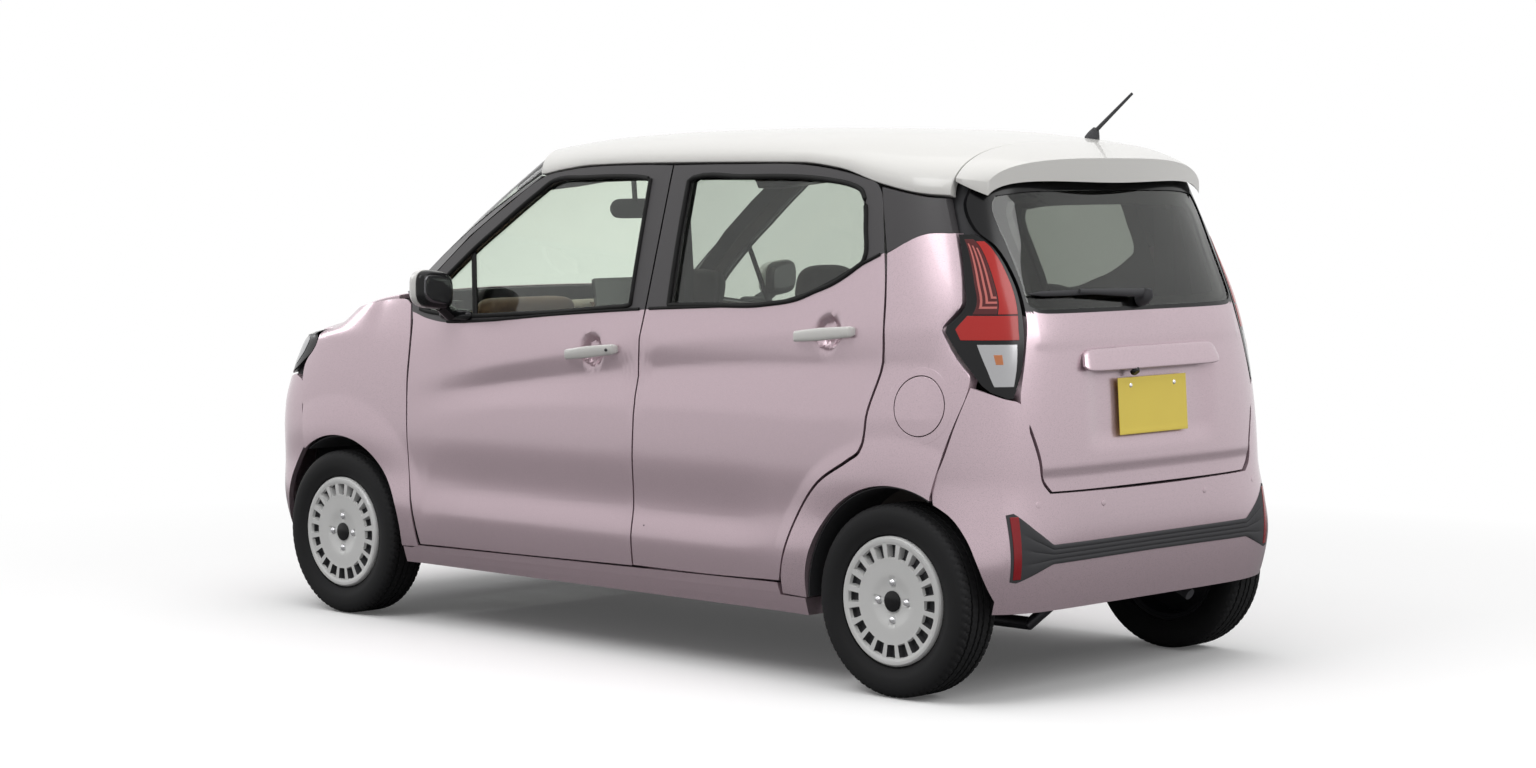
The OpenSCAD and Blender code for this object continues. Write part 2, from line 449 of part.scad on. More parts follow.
// Number plate screws, in a pad on the tailgate
plate_z = 885;
plate_x = gate_at(0, plate_z)[0] - 9;
module tailgate() {
    fine = densify(gate_rows(), 2, true);
    color("thistle") difference() {
        union() {
            slab(span(fine, 4, function(y, z) gate_at(y, z)), span([for (r = fine) pull(r, 12)], 4,
                function(y, z) gate_at(y, z, mix(60, 34, ease(1000, 1120, z)))), wrap = true, flip = true);
            box([plate_x, -140, plate_z - 18], [plate_x + 40, 140, plate_z + 18]);
        }
        for (y = [-105, 105]) translate([plate_x - 1, y, plate_z]) rotate([0, 90, 0]) cylinder(r = 3, h = 31);
    }
}
module tailgate_glass() {
    color("darkslategray") pane([for (r = densify(gate_rows(), 2, true)) [r[0], r[1]]], 4,
        function(y, z, d) gate_at(y, z, d));
}
// Roof spoiler on the tailgate: along x from the roof gap to its lip
module spoiler() {
    cols = [for (s = [-0.97, -0.9, -0.78, -0.6, -0.3, 0, 0.3, 0.6, 0.78, 0.9, 0.97]) s];
    x0 = roof_back - gap - 1;
    function upper(s, v) = let (x = x0 - v*(165 - 60*s*s)) [x, s*roof_half(roof_back), roof_z(roof_back, s) -
        34*v - 14*v*v - 6*s*s*v];
    color("whitesmoke") {
        slab([for (s = cols) [for (k = [0:4]) upper(s, k/4)]],
            [for (s = cols) [for (k = [0:4]) upper(s, k/4) - [0, 0, mix(16, 46, k/4)*(1 - 0.5*s*s)]]], flip = true);
        for (y = [-320, -40, 240]) let (x = gate_at(y, top - 156)[0])
            box([x + 6, y, top - 156], [x + 18, y + 80, top - 88]);
    }
}
module rear_wiper() {
    x = gate_at(15, 1098)[0];
    color("dimgray") {
        rod([x - 0.9, 15, 1098], [x - 40, 15, 1098], 11);
        box([x - 44, 4, 1088], [x - 30, 26, 1162]);
        rod([x - 36, 15, 1156], [x - 26, 300, 1160], 7);
        rod([x - 30, 40, 1160], [gate_at(478, 1160)[0] - 14, 478, 1164], 5);
    }
}

// Side frame: sill, hinge post, windscreen pillar, cant rail, middle and rear pillars
SILL_TOP = [[F - 332, 52], [F - 372, 52], [F - 410, 61], [M - 178, 78], [R + 446, 88], [R + 438, 52], [R + 332, 52]];
LINE = [[F - 345, belt + 28], [F - 595, top - 351], [F - 755, top - 245], [F - 905, top - 156]];
module side_frame_left() {
    color("gray") {
        slab([for (r = SILL_TOP) [for (k = [0:3]) side(r[0], sill_z + r[1]*k/3)]],
            [for (r = SILL_TOP) [for (k = [0:3]) [r[0], 560, sill_z + r[1]*k/3]]], flip = true);
        box([F - 460, 556, sill_z + 30], [F - 345, 592, belt + 24]);
        slab([for (v = [0:6]) let (p = LINE[min(3, floor(v/2))], q = LINE[min(3, floor(v/2) + 1)],
            d = mix(p, q, v%2/2) + [3.6, 4.6]) [side(d[0], d[1]), screen_at(1, v/6) + [0, 1, 0]]],
            [for (v = [0:6]) let (p = LINE[min(3, floor(v/2))], q = LINE[min(3, floor(v/2) + 1)],
            d = mix(p, q, v%2/2) + [3.6, 4.6]) [side(d[0], d[1], mix(90, 118, v/6)), screen_at(1, v/6, mix(24, 6, v/6)) + [0, mix(-8, 0, v/6), 0]]],
            flip = true);
        box([F - 350, 556, belt - 13], [F - 312, 592, belt + 20]);
        box([F - 338, 580, belt - 13], [F - 312, 640, belt + 42]);
        slab([for (k = [0:12]) let (p = roof_seat(0.86, k), x = p[0]) [[x, roof_half(x) - 52, curve(ROOF_EDGE, x) - 55], p]],
            [for (k = [0:12]) let (p = roof_seat(0.72, k), x = p[0]) [[x, roof_half(x) - 105, curve(ROOF_EDGE, x) - 50], p]],
            flip = true);
        slab([for (k = [0:8]) let (z = mix(sill_z + 30, top - 130, k/8), y = skin_y(M - 200, z) - door_depth(z - 170) - gap - 12)
            [[M - mix(120, 165, k/8), y, z], [M - mix(275, 270, k/8), y, z]]], [for (k = [0:8]) let (z = mix(sill_z + 30,
            top - 130, k/8), y = skin_y(M - 200, z) - door_depth(z - 170) - gap - 52) [[M - mix(120, 165, k/8), y, z],
            [M - mix(275, 270, k/8), y, z]]]);
        slab([for (k = [0:4]) let (z = mix(616, top - 210, k/4), y = skin_y(R - 95, z) - 78) [[R - 20, y, z], [R - 95, y, z]]],
            [for (k = [0:4]) let (z = mix(616, top - 210, k/4)) [[R - 20, mix(520, 480, k/4), z],
            [R - 95, mix(520, 480, k/4), z]]]);
        for (x = [F - 440, R + 470]) box([x, 585, sill_z - 12], [x + 90, 625, sill_z + 20]);
        hinge_arms(FRONT_HINGE, 580);
        hinge_arms(REAR_HINGE, 575);
    }
}
module side_frame_right() { right() side_frame_left(); }

module floor_pan() {
    color("gray") {
        box([R + 340, -559.5, 190], [F - 333, 559.5, 214]);
        box([R + 330, -559.5, 190], [R + 342, 559.5, 452]);
        box([R - 300, -528, 428], [R + 342, 528, 452]);
        box([F - 344.5, -594, 612], [F - 333, 594, belt - 14]);
        box([F - 344.5, -555, 190], [F - 333, 555, 620]);
        box([tail + 23.2, -60, 440], [R - 290, 60, 452]);
        box([nose - 150, -540, 250], [nose - 138, 540, 740]);
        box([nose - 140, -60, 470], [nose - 23.2, 60, 500]);
        both() {
            box([F - 344, 350, 330], [nose - 140, 410, 430]);
            box([F - 344, 588, 612], [F + 150, 594, belt - 160]);
            box([F + 144, 530, 640], [F + 150, 594, 735]);
            box([nose - 250, 530, 640], [nose - 138, 540, 735]);
            box([F + 144, 530, 640], [nose - 240, 536, 735]);
            box([F - 340, 366, belt - 80], [F - 125, 378, belt - 65]);
            box([F - 145, 366, belt - 80], [F - 125, 378, belt + 20]);
            translate([bonnet_pin[0], 366, bonnet_pin[1]]) rotate([-90, 0, 0]) cylinder(r = hinge_r, h = 34);
        }
    }
}
module arch_liners() {
    module shell(axle, y0) {
        difference() {
            translate([axle, y0, tyre_r + 4]) rotate([-90, 0, 0]) cylinder(r = arch_r - 3.2, h = 716 - y0);
            translate([axle, y0 - 1, tyre_r + 4]) rotate([-90, 0, 0]) cylinder(r = arch_r - 7.2, h = 720 - y0);
            box([axle - 400, y0 - 1, -100], [axle + 400, 800, 262]);
        }
    }
    color("dimgray") both() {
        difference() {
            shell(F, 411);
            box([F + 176, 400, 100], [F + 400, 800, 600]);
        }
        difference() {
            shell(R, 529);
            box([R - 400, 500, 100], [R - 138, 800, 610]);
        }
    }
}
module cowl() {
    cols = [for (k = [0:8]) 0.9*(k/4 - 1)];
    function rim(s, d) = let (p = screen_at(s, 0)) [p + [-40, 0, -5 - d], p + [8 - d/2, 0, -5.5 - d], p + [10 - d/2, 0, -110 + 0.8*d],
        p + [-40, 0, -118 + 0.8*d]];
    color("dimgray") slab([for (s = cols) rim(s, 0)], [for (s = cols) rim(s, 9)]);
}

// Running gear
module front_suspension() {
    color("gray") {
        box([F - 60, -349.5, 331], [F + 60, 349.5, 345]);
        box([F - 50, -335, 195], [F + 30, 335, 245]);
        both() {
            box([F - 40, 300, 240], [F + 20, 335, 340]);
            rod([F, 320, 220], [F, kingpin_y, 196], 18);
            translate([F, kingpin_y, 178]) cylinder(r = 20, h = 40);
            translate([F, kingpin_y, 180]) cylinder(r = kingpin_r, h = 208);
            box([F - 18, 490, 372], [F + 18, kingpin_y + 14, 392]);
            translate([F, 505, 372]) cylinder(r = 24, h = 228);
            translate([F, 505, 450]) cylinder(r = 52, h = 120);
        }
    }
}
module knuckle_left() {
    color("gray") difference() {
        union() {
            translate([F, kingpin_y, 224]) cylinder(r = 24, h = 140);
            rod([F, kingpin_y + 10, tyre_r], [F, wheel_y + 22, tyre_r], spindle_r);
            rod([F, kingpin_y + 14, tyre_r], [F, wheel_y - 24, tyre_r], 44);
        }
        translate([F, kingpin_y, 200]) cylinder(r = kingpin_r + run, h = 180);
    }
}
module knuckle_right() { right() knuckle_left(); }
module rear_axle() {
    color("gray") {
        rod([R + 150, -470, 262], [R + 150, 470, 262], 34);
        both() {
            box([R + 290, 445, 235], [R + 329.5, 495, 290]);
            rod([R + 310, 470, 262], [R, 500, tyre_r], 24);
            rod([R, 480, tyre_r], [R, wheel_y + 22, tyre_r], spindle_r);
            rod([R, 490, tyre_r], [R, wheel_y - 24, tyre_r], 44);
            translate([R + 150, 430, 262]) cylinder(r = 50, h = 165.5);
            rod([R - 20, 492, tyre_r], [R - 60, 490, 414], 16);
        }
    }
}
// Turned parts: profiles are [radius, offset outboard from the wheel's middle]
TYRE = [[rim_r + 0.4, -56.3], [rim_r + 15, -57.8], [rim_r + 15.5, -64.5], [205, -69], [228, -tyre_w/2 + 0.5], [248, -tyre_w/2], [266, -72], [tyre_r - 3.5, -64],
    [tyre_r, -52]];
module turned(pts, axle, y) { translate([axle, y, tyre_r]) rotate([-90, 0, 0]) rotate_extrude($fn = 64) polygon(pts); }
module tyre(axle) {
    color("black") turned(concat(TYRE, [for (i = [len(TYRE) - 1:-1:0]) [TYRE[i][0], -TYRE[i][1]]]), axle, wheel_y);
}
COVER = [[0, 66], [34, 66], [38, 62], [70, 60], [104, 64], [122, 69.5]];
module wheel(axle) {
    color("silver") turned([[rim_r - 8, -60], [rim_r - 8, 20], [150, 30], [62, 30], [50, -20], [spindle_r + run, -20],
        [spindle_r + run, 40], [158, 40], [rim_r - 4, 30], [rim_r - 4, 62.6], [rim_r + 14, 63], [rim_r + 14, 58.5],
        [rim_r, 57], [rim_r, -57], [rim_r + 14, -58.5], [rim_r + 14, -63], [rim_r - 4, -64]], axle, wheel_y);
    color("white") {
        turned(concat(COVER, [[126, 69.5], [126, 66.5], [122, 66.5]], [for (i = [4:-1:0]) [COVER[i][0], COVER[i][1] - 3.5]]),
            axle, wheel_y);
        translate([axle, wheel_y + 66, tyre_r]) rotate([-90, 0, 0]) linear_extrude(4) difference() {
            circle(r = 168, $fn = 80);
            circle(r = 121, $fn = 80);
            for (k = [0:vents - 1]) rotate((k + 0.5)*360/vents) polygon([[129, -6], [129, 6], [160, 9], [160, -9]]);
        }
        turned([[165, 66.5], [165, 69.5], [172, 69.6], [182, 68], [188, 64.2], [185, 63.4], [176, 65.6]], axle, wheel_y);
    }
}
module tyre_front_left() { tyre(F); }
module tyre_front_right() { right() tyre(F); }
module tyre_rear_left() { tyre(R); }
module tyre_rear_right() { right() tyre(R); }
module wheel_front_left() { wheel(F); }
module wheel_front_right() { right() wheel(F); }
module wheel_rear_left() { wheel(R); }
module wheel_rear_right() { right() wheel(R); }
module exhaust() {
    color("gray") {
        rod([F - 220, 200, 170], [R - 90, 200, 170], 19.5);
        rod([R - 84, 205, 163], [R - 190, 110, 290], 17);
        rod([R - 200, -300, 300], [R - 200, 140, 300], 62);
        rod([R - 210, -270, 290], [tail + 70, -270, 232], 18);
        for (y = [-200, 60]) rod([R - 200, y, 350], [R - 200, y, 427.5], 7);
    }
}
module fuel_tank() { color("dimgray") box([R + 420, -420, 132], [R + 820, 160, 189.5]); }
module engine_block() {
    color("gray") {
        box([F + 90, -330, 400], [F + 330, 300, 720]);
        box([F + 120, -349.5, 350], [F + 300, 349.5, 402]);
        box([F - 20, -220, 640], [F + 250, 200, 860]);
    }
}

// Cabin
steer_u = [-cos(24), 0, sin(24)];
steer_c = [F - 700, -seat_y, belt - 120];
module dashboard() {
    color("saddlebrown") {
        translate([0, 555, 0]) rotate([90, 0, 0]) linear_extrude(1110) polygon([[F - 345.3, belt - 16], [F - 345.3, 610],
            [F - 420, 600], [F - 520, 720], [F - 590, 790], [F - 600, belt - 130], [F - 570, belt - 40], [F - 480, belt - 10]]);
        box([F - 622, -115, belt - 110], [F - 590, 115, belt + 10]);
        rod(steer_c - 150*steer_u, steer_c - 20*steer_u, 30);
        rod(steer_c - 30*steer_u, steer_c + 12*steer_u, 12);
    }
}
module steering_wheel() {
    color("dimgray") translate(steer_c) rotate([0, -66, 0]) difference() {
        union() {
            rotate_extrude($fn = 48) translate([wheel_rim_r, 0]) circle(r = 14, $fn = 16);
            translate([0, 0, -16]) cylinder(r = 62, h = 40);
            for (a = [0, 120, 240]) rotate(a + 180) translate([40, -16, -8]) cube([wheel_rim_r - 46, 32, 14]);
        }
        translate([0, 0, -20]) cylinder(r = 12 + run, h = 34);
    }
}
module roll(p, y, w, r) { translate([p[0], y - w/2, p[1]]) rotate([-90, 0, 0]) cylinder(r = r, h = w, $fn = 20); }
module front_seats() {
    color("saddlebrown") both() {
        hull() { roll([F - 690, cushion_z - 62], seat_y, 450, 58); roll([F - 1090, cushion_z - 85], seat_y, 460, 68); }
        hull() { roll([F - 1130, cushion_z + 5], seat_y, 450, 62); roll([F - 1270, cushion_z + 470], seat_y, 400, 42); }
        hull() { roll([F - 1284, cushion_z + 566], seat_y, 250, 36); roll([F - 1300, cushion_z + 640], seat_y, 230, 30); }
        box([F - 1080, seat_y - 170, 214.4], [F - 720, seat_y + 170, cushion_z - 110]);
        for (s = [-60, 60]) rod([F - 1270, seat_y + s, cushion_z + 470], [F - 1286, seat_y + s, cushion_z + 570], 7);
    }
}
module rear_seat() {
    color("saddlebrown") {
        hull() { roll([R + 840, 440], 0, 1080, 62); roll([R + 430, 420], 0, 1080, 72); }
        hull() { roll([R + 405, 500], 0, 1060, 58); roll([R + 285, 960], 0, 1020, 42); }
        box([R + 400, -500, 214.4], [R + 800, 500, 400]);
        both() {
            hull() { roll([R + 275, 1060], seat_y - 20, 260, 36); roll([R + 262, 1120], seat_y - 20, 230, 28); }
            for (s = [-60, 60]) rod([R + 290, seat_y - 20 + s, 960], [R + 274, seat_y - 20 + s, 1070], 7);
        }
    }
}
antenna_base = [R + 41, -250];
module antenna() {
    z = roof_z(antenna_base[0], antenna_base[1]/roof_half(antenna_base[0])) + 1.4;
    color("dimgray") {
        translate([antenna_base[0], antenna_base[1], z]) cylinder(r1 = 20, r2 = 10, h = 22);
        rod([antenna_base[0], antenna_base[1], z + 14], [antenna_base[0] - 152, antenna_base[1], z + 134], 4);
    }
}
module fuel_lid() {
    color("thistle") pane([for (k = [0:23]) lid_c + 84.6*[cos(15*k), sin(15*k)]], 0, function(x, z, d) side(x, z, d));
}

antenna();
arch_liners();
bonnet();
bumper_trim();
cowl();
dashboard();
door_front_left();
door_front_right();
door_rear_left();
door_rear_right();
engine_block();
exhaust();
floor_pan();
front_bumper();
front_fenders();
front_seats();
front_suspension();
fuel_lid();
fuel_tank();
glass_front_left();
glass_front_right();
glass_rear_left();
glass_rear_right();
grille();
handle_front_left();
handle_front_right();
handle_rear_left();
handle_rear_right();
headlamps();
knuckle_left();
knuckle_right();
mirror_left();
mirror_right();
pillar_trims();
quarter_left();
quarter_right();
rear_axle();
rear_bumper();
rear_seat();
rear_wiper();
roof_panel();
side_frame_left();
side_frame_right();
spoiler();
steering_wheel();
tail_lamps();
tailgate();
tailgate_glass();
tyre_front_left();
tyre_front_right();
tyre_rear_left();
tyre_rear_right();
wheel_front_left();
wheel_front_right();
wheel_rear_left();
wheel_rear_right();
windscreen();
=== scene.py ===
"""Looks of a tall five-door kei car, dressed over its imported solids.

The skin of the car is one set of closed formulas in millimetres: a plan outline
at each height, with a fold, a lower step and arch lips added to it. Panels are
grids on that skin between the outlines named in short tables.
"""
from __future__ import annotations

import logging
import math
from dataclasses import dataclass
from enum import Enum
from typing import Callable, Optional, Sequence

import bpy
import numpy as np
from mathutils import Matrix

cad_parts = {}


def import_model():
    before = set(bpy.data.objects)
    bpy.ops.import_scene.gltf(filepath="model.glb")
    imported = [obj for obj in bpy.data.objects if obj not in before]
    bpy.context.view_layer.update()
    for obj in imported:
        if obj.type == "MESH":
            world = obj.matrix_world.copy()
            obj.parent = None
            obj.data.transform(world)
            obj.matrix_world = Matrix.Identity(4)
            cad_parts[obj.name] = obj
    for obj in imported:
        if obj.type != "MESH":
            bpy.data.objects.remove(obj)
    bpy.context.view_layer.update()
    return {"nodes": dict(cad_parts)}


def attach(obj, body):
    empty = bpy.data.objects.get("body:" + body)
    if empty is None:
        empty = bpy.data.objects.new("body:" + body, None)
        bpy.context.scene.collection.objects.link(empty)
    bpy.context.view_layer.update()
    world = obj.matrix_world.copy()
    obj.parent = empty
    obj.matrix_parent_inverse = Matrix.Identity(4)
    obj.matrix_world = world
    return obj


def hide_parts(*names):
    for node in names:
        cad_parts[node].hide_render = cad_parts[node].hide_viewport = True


LOG = logging.getLogger("kei_car")
Array = np.ndarray
MM = 0.001

# Axles and middle of the car, then ends, roof, glass line and sill of the body, in millimetres
F, R, M = 1195.0, -1300.0, -52.5
NOSE, TAIL, TOP, BELT, SILL = 1697.5, -1697.5, 1640.0, 1050.0, 205.0
# Half width, radii of tyre, arch and bolt circle, gaps, and thicknesses of door, frame, panel and glass
BODY_HALF, TYRE_R, ARCH_R, GAP = 737.5, 278.5, 328.0, 5.0
BOLT_R, DOOR_GAP = 54.0, GAP + 1.0
DOOR_T, FRAME_T, PANEL_T, GLASS_T = 105.0, 36.0, 26.0, 4.0
# Face of the number plate at its foot, and its lean forward per millimetre of height
PLATE_X, PLATE_LEAN = -1691.0, 0.065

# How far the side, tail and nose lie in from the widest or farthest place: z, inset
SIDE_INSET = ((150, 66), (210, 38), (300, 15), (395, 7.5), (500, 14), (640, 8), (800, 10), (950, 18),
              (BELT, 33), (BELT + 200, 74), (TOP - 190, 122), (TOP - 110, 143), (TOP, 178))
REAR_INSET = ((150, 90), (250, 30), (400, 3), (470, 0), (600, 4), (800, 12), (1000, 29), (1100, 48),
              (1300, 125), (TOP - 165, 196), (TOP - 80, 232), (TOP, 258))
FRONT_INSET = ((150, 108), (250, 42), (400, 4), (470, 0), (600, 3), (700, 13), (800, 52), (880, 97),
               (940, 147), (980, 325), (1056, 455), (1110, 620))
# Edge and crown of the roof and of the bonnet along the car: x, z
ROOF_EDGE = ((R - 85, TOP - 205), (R - 20, TOP - 201), (R + 148, TOP - 170), (R + 311, TOP - 126),
             (R + 474, TOP - 109), (M - 548, TOP - 108), (M - 128, TOP - 110), (F - 1125, TOP - 116),
             (F - 1005, TOP - 128), (F - 905, TOP - 145))
ROOF_CROWN = ((R - 85, TOP - 50), (R + 41, TOP - 33), (R + 355, TOP - 8), (M - 498, TOP), (M - 220, TOP - 3),
              (F - 1106, TOP - 14), (F - 823, TOP - 40), (F - 715, TOP - 78))
BONNET_EDGE = ((F - 255, BELT + 42), (F - 195, BELT + 36), (F - 21, BELT + 3), (F + 113, BELT - 69),
               (F + 205, BELT - 84), (F + 275, BELT - 94), (F + 365, BELT - 120), (F + 433, BELT - 145))
BONNET_CROWN = ((F - 255, BELT + 64), (F - 195, BELT + 60), (F - 21, BELT + 42), (F + 113, BELT + 8),
                (F + 275, BELT - 47), (F + 365, BELT - 88), (F + 433, BELT - 135))
# Half width of the bonnet: x, y
BONNET_HALF = ((F - 255, 652), (F - 195, 645), (F - 21, 611), (F + 113, 591), (F + 275, 567), (F + 433, 527))
# Lower edge of the dark window band along the side: x, z
BAND = ((-1300, 1318), (-1218, 1272), (-1137, 1234), (-960, 1151), (-834, 1117), (-646, 1101), (-273, 1080),
        (111, 1052), (520, 1016), (654, 1010), (740, 1018), (831, 1039), (900, 1052))

# Door outlines: window x, window z, edge x, edge z, round the door from the front foot
FRONT_DOOR = ((F - 595, BELT - 14, F - 420, SILL + 67), (F - 495, BELT - 9, F - 371, 524),
              (F - 435, BELT - 4, F - 365, 760), (F - 405, BELT + 2, F - 373, BELT - 48),
              (F - 407, BELT + 6, F - 345, BELT + 28), (F - 610, TOP - 404, F - 595, TOP - 351),
              (F - 732, TOP - 320, F - 755, TOP - 245), (F - 895, TOP - 210, F - 910, TOP - 154),
              (F - 960, TOP - 172, F - 1005, TOP - 135), (F - 1095, TOP - 162, F - 1125, TOP - 123),
              (M - 97, TOP - 158, M - 128, TOP - 117), (M - 150, TOP - 164, M - 241, TOP - 118),
              (M - 150, TOP - 360, M - 233, TOP - 350), (M - 148, BELT + 45, M - 219, BELT + 30),
              (M - 128, BELT + 40, M - 208, BELT - 60), (M - 68, BELT + 35, M - 190, 700),
              (M - 8, BELT + 30, M - 184, 520), (M + 52, BELT + 25, M - 181, 385),
              (M + 112, BELT + 20, M - 180, SILL + 84), (M + 302, BELT + 8, M + 322, SILL + 74))
REAR_DOOR = ((M - 448, BELT + 54, M - 181 - DOOR_GAP, SILL + 86),
             (M - 388, BELT + 51, M - 181 - DOOR_GAP, 385),
             (M - 348, BELT + 50, M - 184 - DOOR_GAP, 520), (M - 328, BELT + 49, M - 190 - DOOR_GAP, 700),
             (M - 326, BELT + 50, M - 208 - DOOR_GAP, BELT - 60),
             (M - 326, BELT + 80, M - 219 - DOOR_GAP, BELT + 30),
             (M - 326, TOP - 350, M - 233 - DOOR_GAP, TOP - 350),
             (M - 327, TOP - 170, M - 241 - DOOR_GAP, TOP - 118), (M - 348, TOP - 159, M - 368, TOP - 116),
             (M - 548, TOP - 158, M - 548, TOP - 115), (R + 463, TOP - 159, R + 474, TOP - 116),
             (R + 342, TOP - 167, R + 311, TOP - 134), (R + 240, TOP - 184, R + 210, TOP - 156),
             (R + 210, TOP - 200, R + 148, TOP - 178), (R + 175, TOP - 305, R + 105, TOP - 295),
             (R + 164, TOP - 392, R + 88, TOP - 364), (R + 190, TOP - 414, R + 62, 1150),
             (R + 268, TOP - 459, R + 54, 960), (R + 340, BELT + 105, R + 95, 820),
             (R + 400, BELT + 84, R + 120, 706), (R + 440, BELT + 76, R + 160, 678),
             (R + 480, BELT + 71, R + 281, 604), (R + 520, BELT + 67, R + 363, 503),
             (R + 560, BELT + 63, R + 414, 389), (R + 610, BELT + 60, R + 438, SILL + 95),
             (R + 700, BELT + 57, R + 740, SILL + 87))
# Arch panels: angle on the arch, outer x, outer z
FENDER = ((184, F - 407, SILL + 58), (176, F - 390, 365), (168, F - 373, 470), (160, F - 362, 580),
          (149, F - 359, 800), (137, F - 366, BELT - 80), (126, F - 344, BELT + 14),
          (118, F - 318, BELT + 27), (112, F - 240, BELT + 27), (106, F - 115, BELT + 8),
          (98, F + 5, BELT - 18), (90, F + 110, BELT - 70), (83, F + 138, BELT - 140),
          (76, F + 200, BELT - 208), (69, F + 211, 775), (62, F + 202, 690), (55.5, F + 190, 572))
QUARTER = ((-4, R + 426, SILL + 58), (8, R + 425, 322), (20, R + 406.5, 386.5), (33, R + 356.8, 498),
           (48, R + 275, 597), (58, R + 154, 669.6), (64, R + 112.6, 697.6), (71, R + 86.4, 819),
           (80, R + 45.4, 958), (90, R + 53.4, 1152), (99, R + 75.4, TOP - 371), (101, R - 40, TOP - 316),
           (103.5, R - 126, TOP - 312), (105.5, R - 172, 1199), (107.5, R - 195, 1100),
           (109.5, R - 215, 1010), (112, R - 240, 918), (114.5, R - 190, 750), (116, R - 141, 588))
# Trim of the rear pillar: upper x, upper z, lower x, lower z
PILLAR = ((R + 136, TOP - 182, R + 77, TOP - 369.4), (R + 60, TOP - 197, R + 18.5, TOP - 342.4),
          (R - 20, TOP - 210, R - 40, TOP - 315.4), (R - 76, TOP - 214, R - 118, TOP - 311.7))
# Tailgate: window y, window z, edge y, edge z, from the middle of the foot up one side
TAILGATE = ((150, 1112, 150, 600), (330, 1112, 330, 601), (430, 1113, 462, 603), (458, 1115, 492, 640),
            (470, 1118, 503, 700), (478, 1122, 528, 780), (484, 1128, 555, 855), (487, 1140, 528, 960),
            (487, 1160, 505, 1050), (486, 1200, 497, 1140), (487, 1240, 497, 1200), (490, 1300, 515, 1290),
            (495, 1360, 545, 1334), (490, 1406, 545, 1408), (470, TOP - 206, 516, TOP - 180),
            (380, TOP - 196, 400, TOP - 150), (150, TOP - 192, 150, TOP - 140))
# Lamps: outer z, outer x, inner z, inner y
TAIL_LAMP = ((866, R - 322, 866, 576), (890, R - 282, 890, 565), (950, R - 235, 950, 541),
             (1000, R - 196, 1000, 527), (1060, R - 151, 1060, 516), (1122, R - 197, 1122, 510),
             (1190, R - 181, 1190, 508), (1290, R - 148, 1290, 528), (1326, R - 133, 1326, 556))
HEAD_LAMP = ((803, F + 345, 803, 462), (825, F + 275, 820, 448), (860, F + 205, 844, 438),
             (900, F + 150, 872, 434), (935, F + 144, 896, 440), (962, F + 146, 918, 470))
# Turned parts of a wheel: radius, offset outwards from the wheel's middle
RIM = ((187, 58), (188.5, 54), (177.5, 47), (177.5, -50), (188, -57), (186, -59.5), (171, -52), (171, 40),
       (183, 56))
DISC = ((1.0, 26), (120, 22), (171, 30), (171, 24), (120, 14), (70, -12), (66, -40), (1.0, -40))
HUB_CAP = ((0.5, 66.5), (26, 66.4), (30, 65), (30.5, 62), (28, 58), (0.5, 58))
# Notch of the tail lamp in the quarter panel: z, x behind the rear axle
LAMP_NOTCH = ((900, -400), (904, -262), (941, -229), (990, -189), (1060, -142), (1127, -189), (1130, -400))
# Dark bar on the rear bumper: y, lower z, upper z
TRIM_BAR = ((0, 400, 452), (240, 399, 452), (470, 397, 452), (540, 372, 500), (600, 352, 548),
            (622, 356, 544))


def mix(a: Array, b: Array, t: Array) -> Array:
    """Straight blend from a to b."""
    return a + (b - a) * t


def ease(a: float, b: float, t: Array) -> Array:
    """Smooth step from 0 at a to 1 at b."""
    k = np.clip((np.asarray(t, float) - a) / (b - a), 0.0, 1.0)
    return k * k * (3.0 - 2.0 * k)


def curve(table: Sequence[Sequence[float]], key: Array) -> Array:
    """Monotone cubic through a table of key and value, level past its ends.

    Args:
        table: rows of key and value, keys rising.
        key: where the curve is read.

    Returns:
        The value at each key, with harmonic slopes so that it doesn't overshoot.
    """
    tab = np.asarray(table, float)
    x, y = tab[:, 0], tab[:, 1]
    sec = np.diff(y) / np.diff(x)
    prod = sec[:-1] * sec[1:]
    total = np.where(prod > 0, sec[:-1] + sec[1:], 1.0)
    slope = np.concatenate(([sec[0]], np.where(prod > 0, 2.0 * prod / total, 0.0), [sec[-1]]))
    k = np.clip(np.asarray(key, float), x[0], x[-1])
    i = np.clip(np.searchsorted(x, k, side="right") - 1, 0, len(x) - 2)
    h = x[i + 1] - x[i]
    t = (k - x[i]) / h
    a, b, d = slope[i] * h, slope[i + 1] * h, y[i + 1] - y[i]
    return y[i] + t * (a + t * (3 * d - 2 * a - b + t * (a + b - 2 * d)))


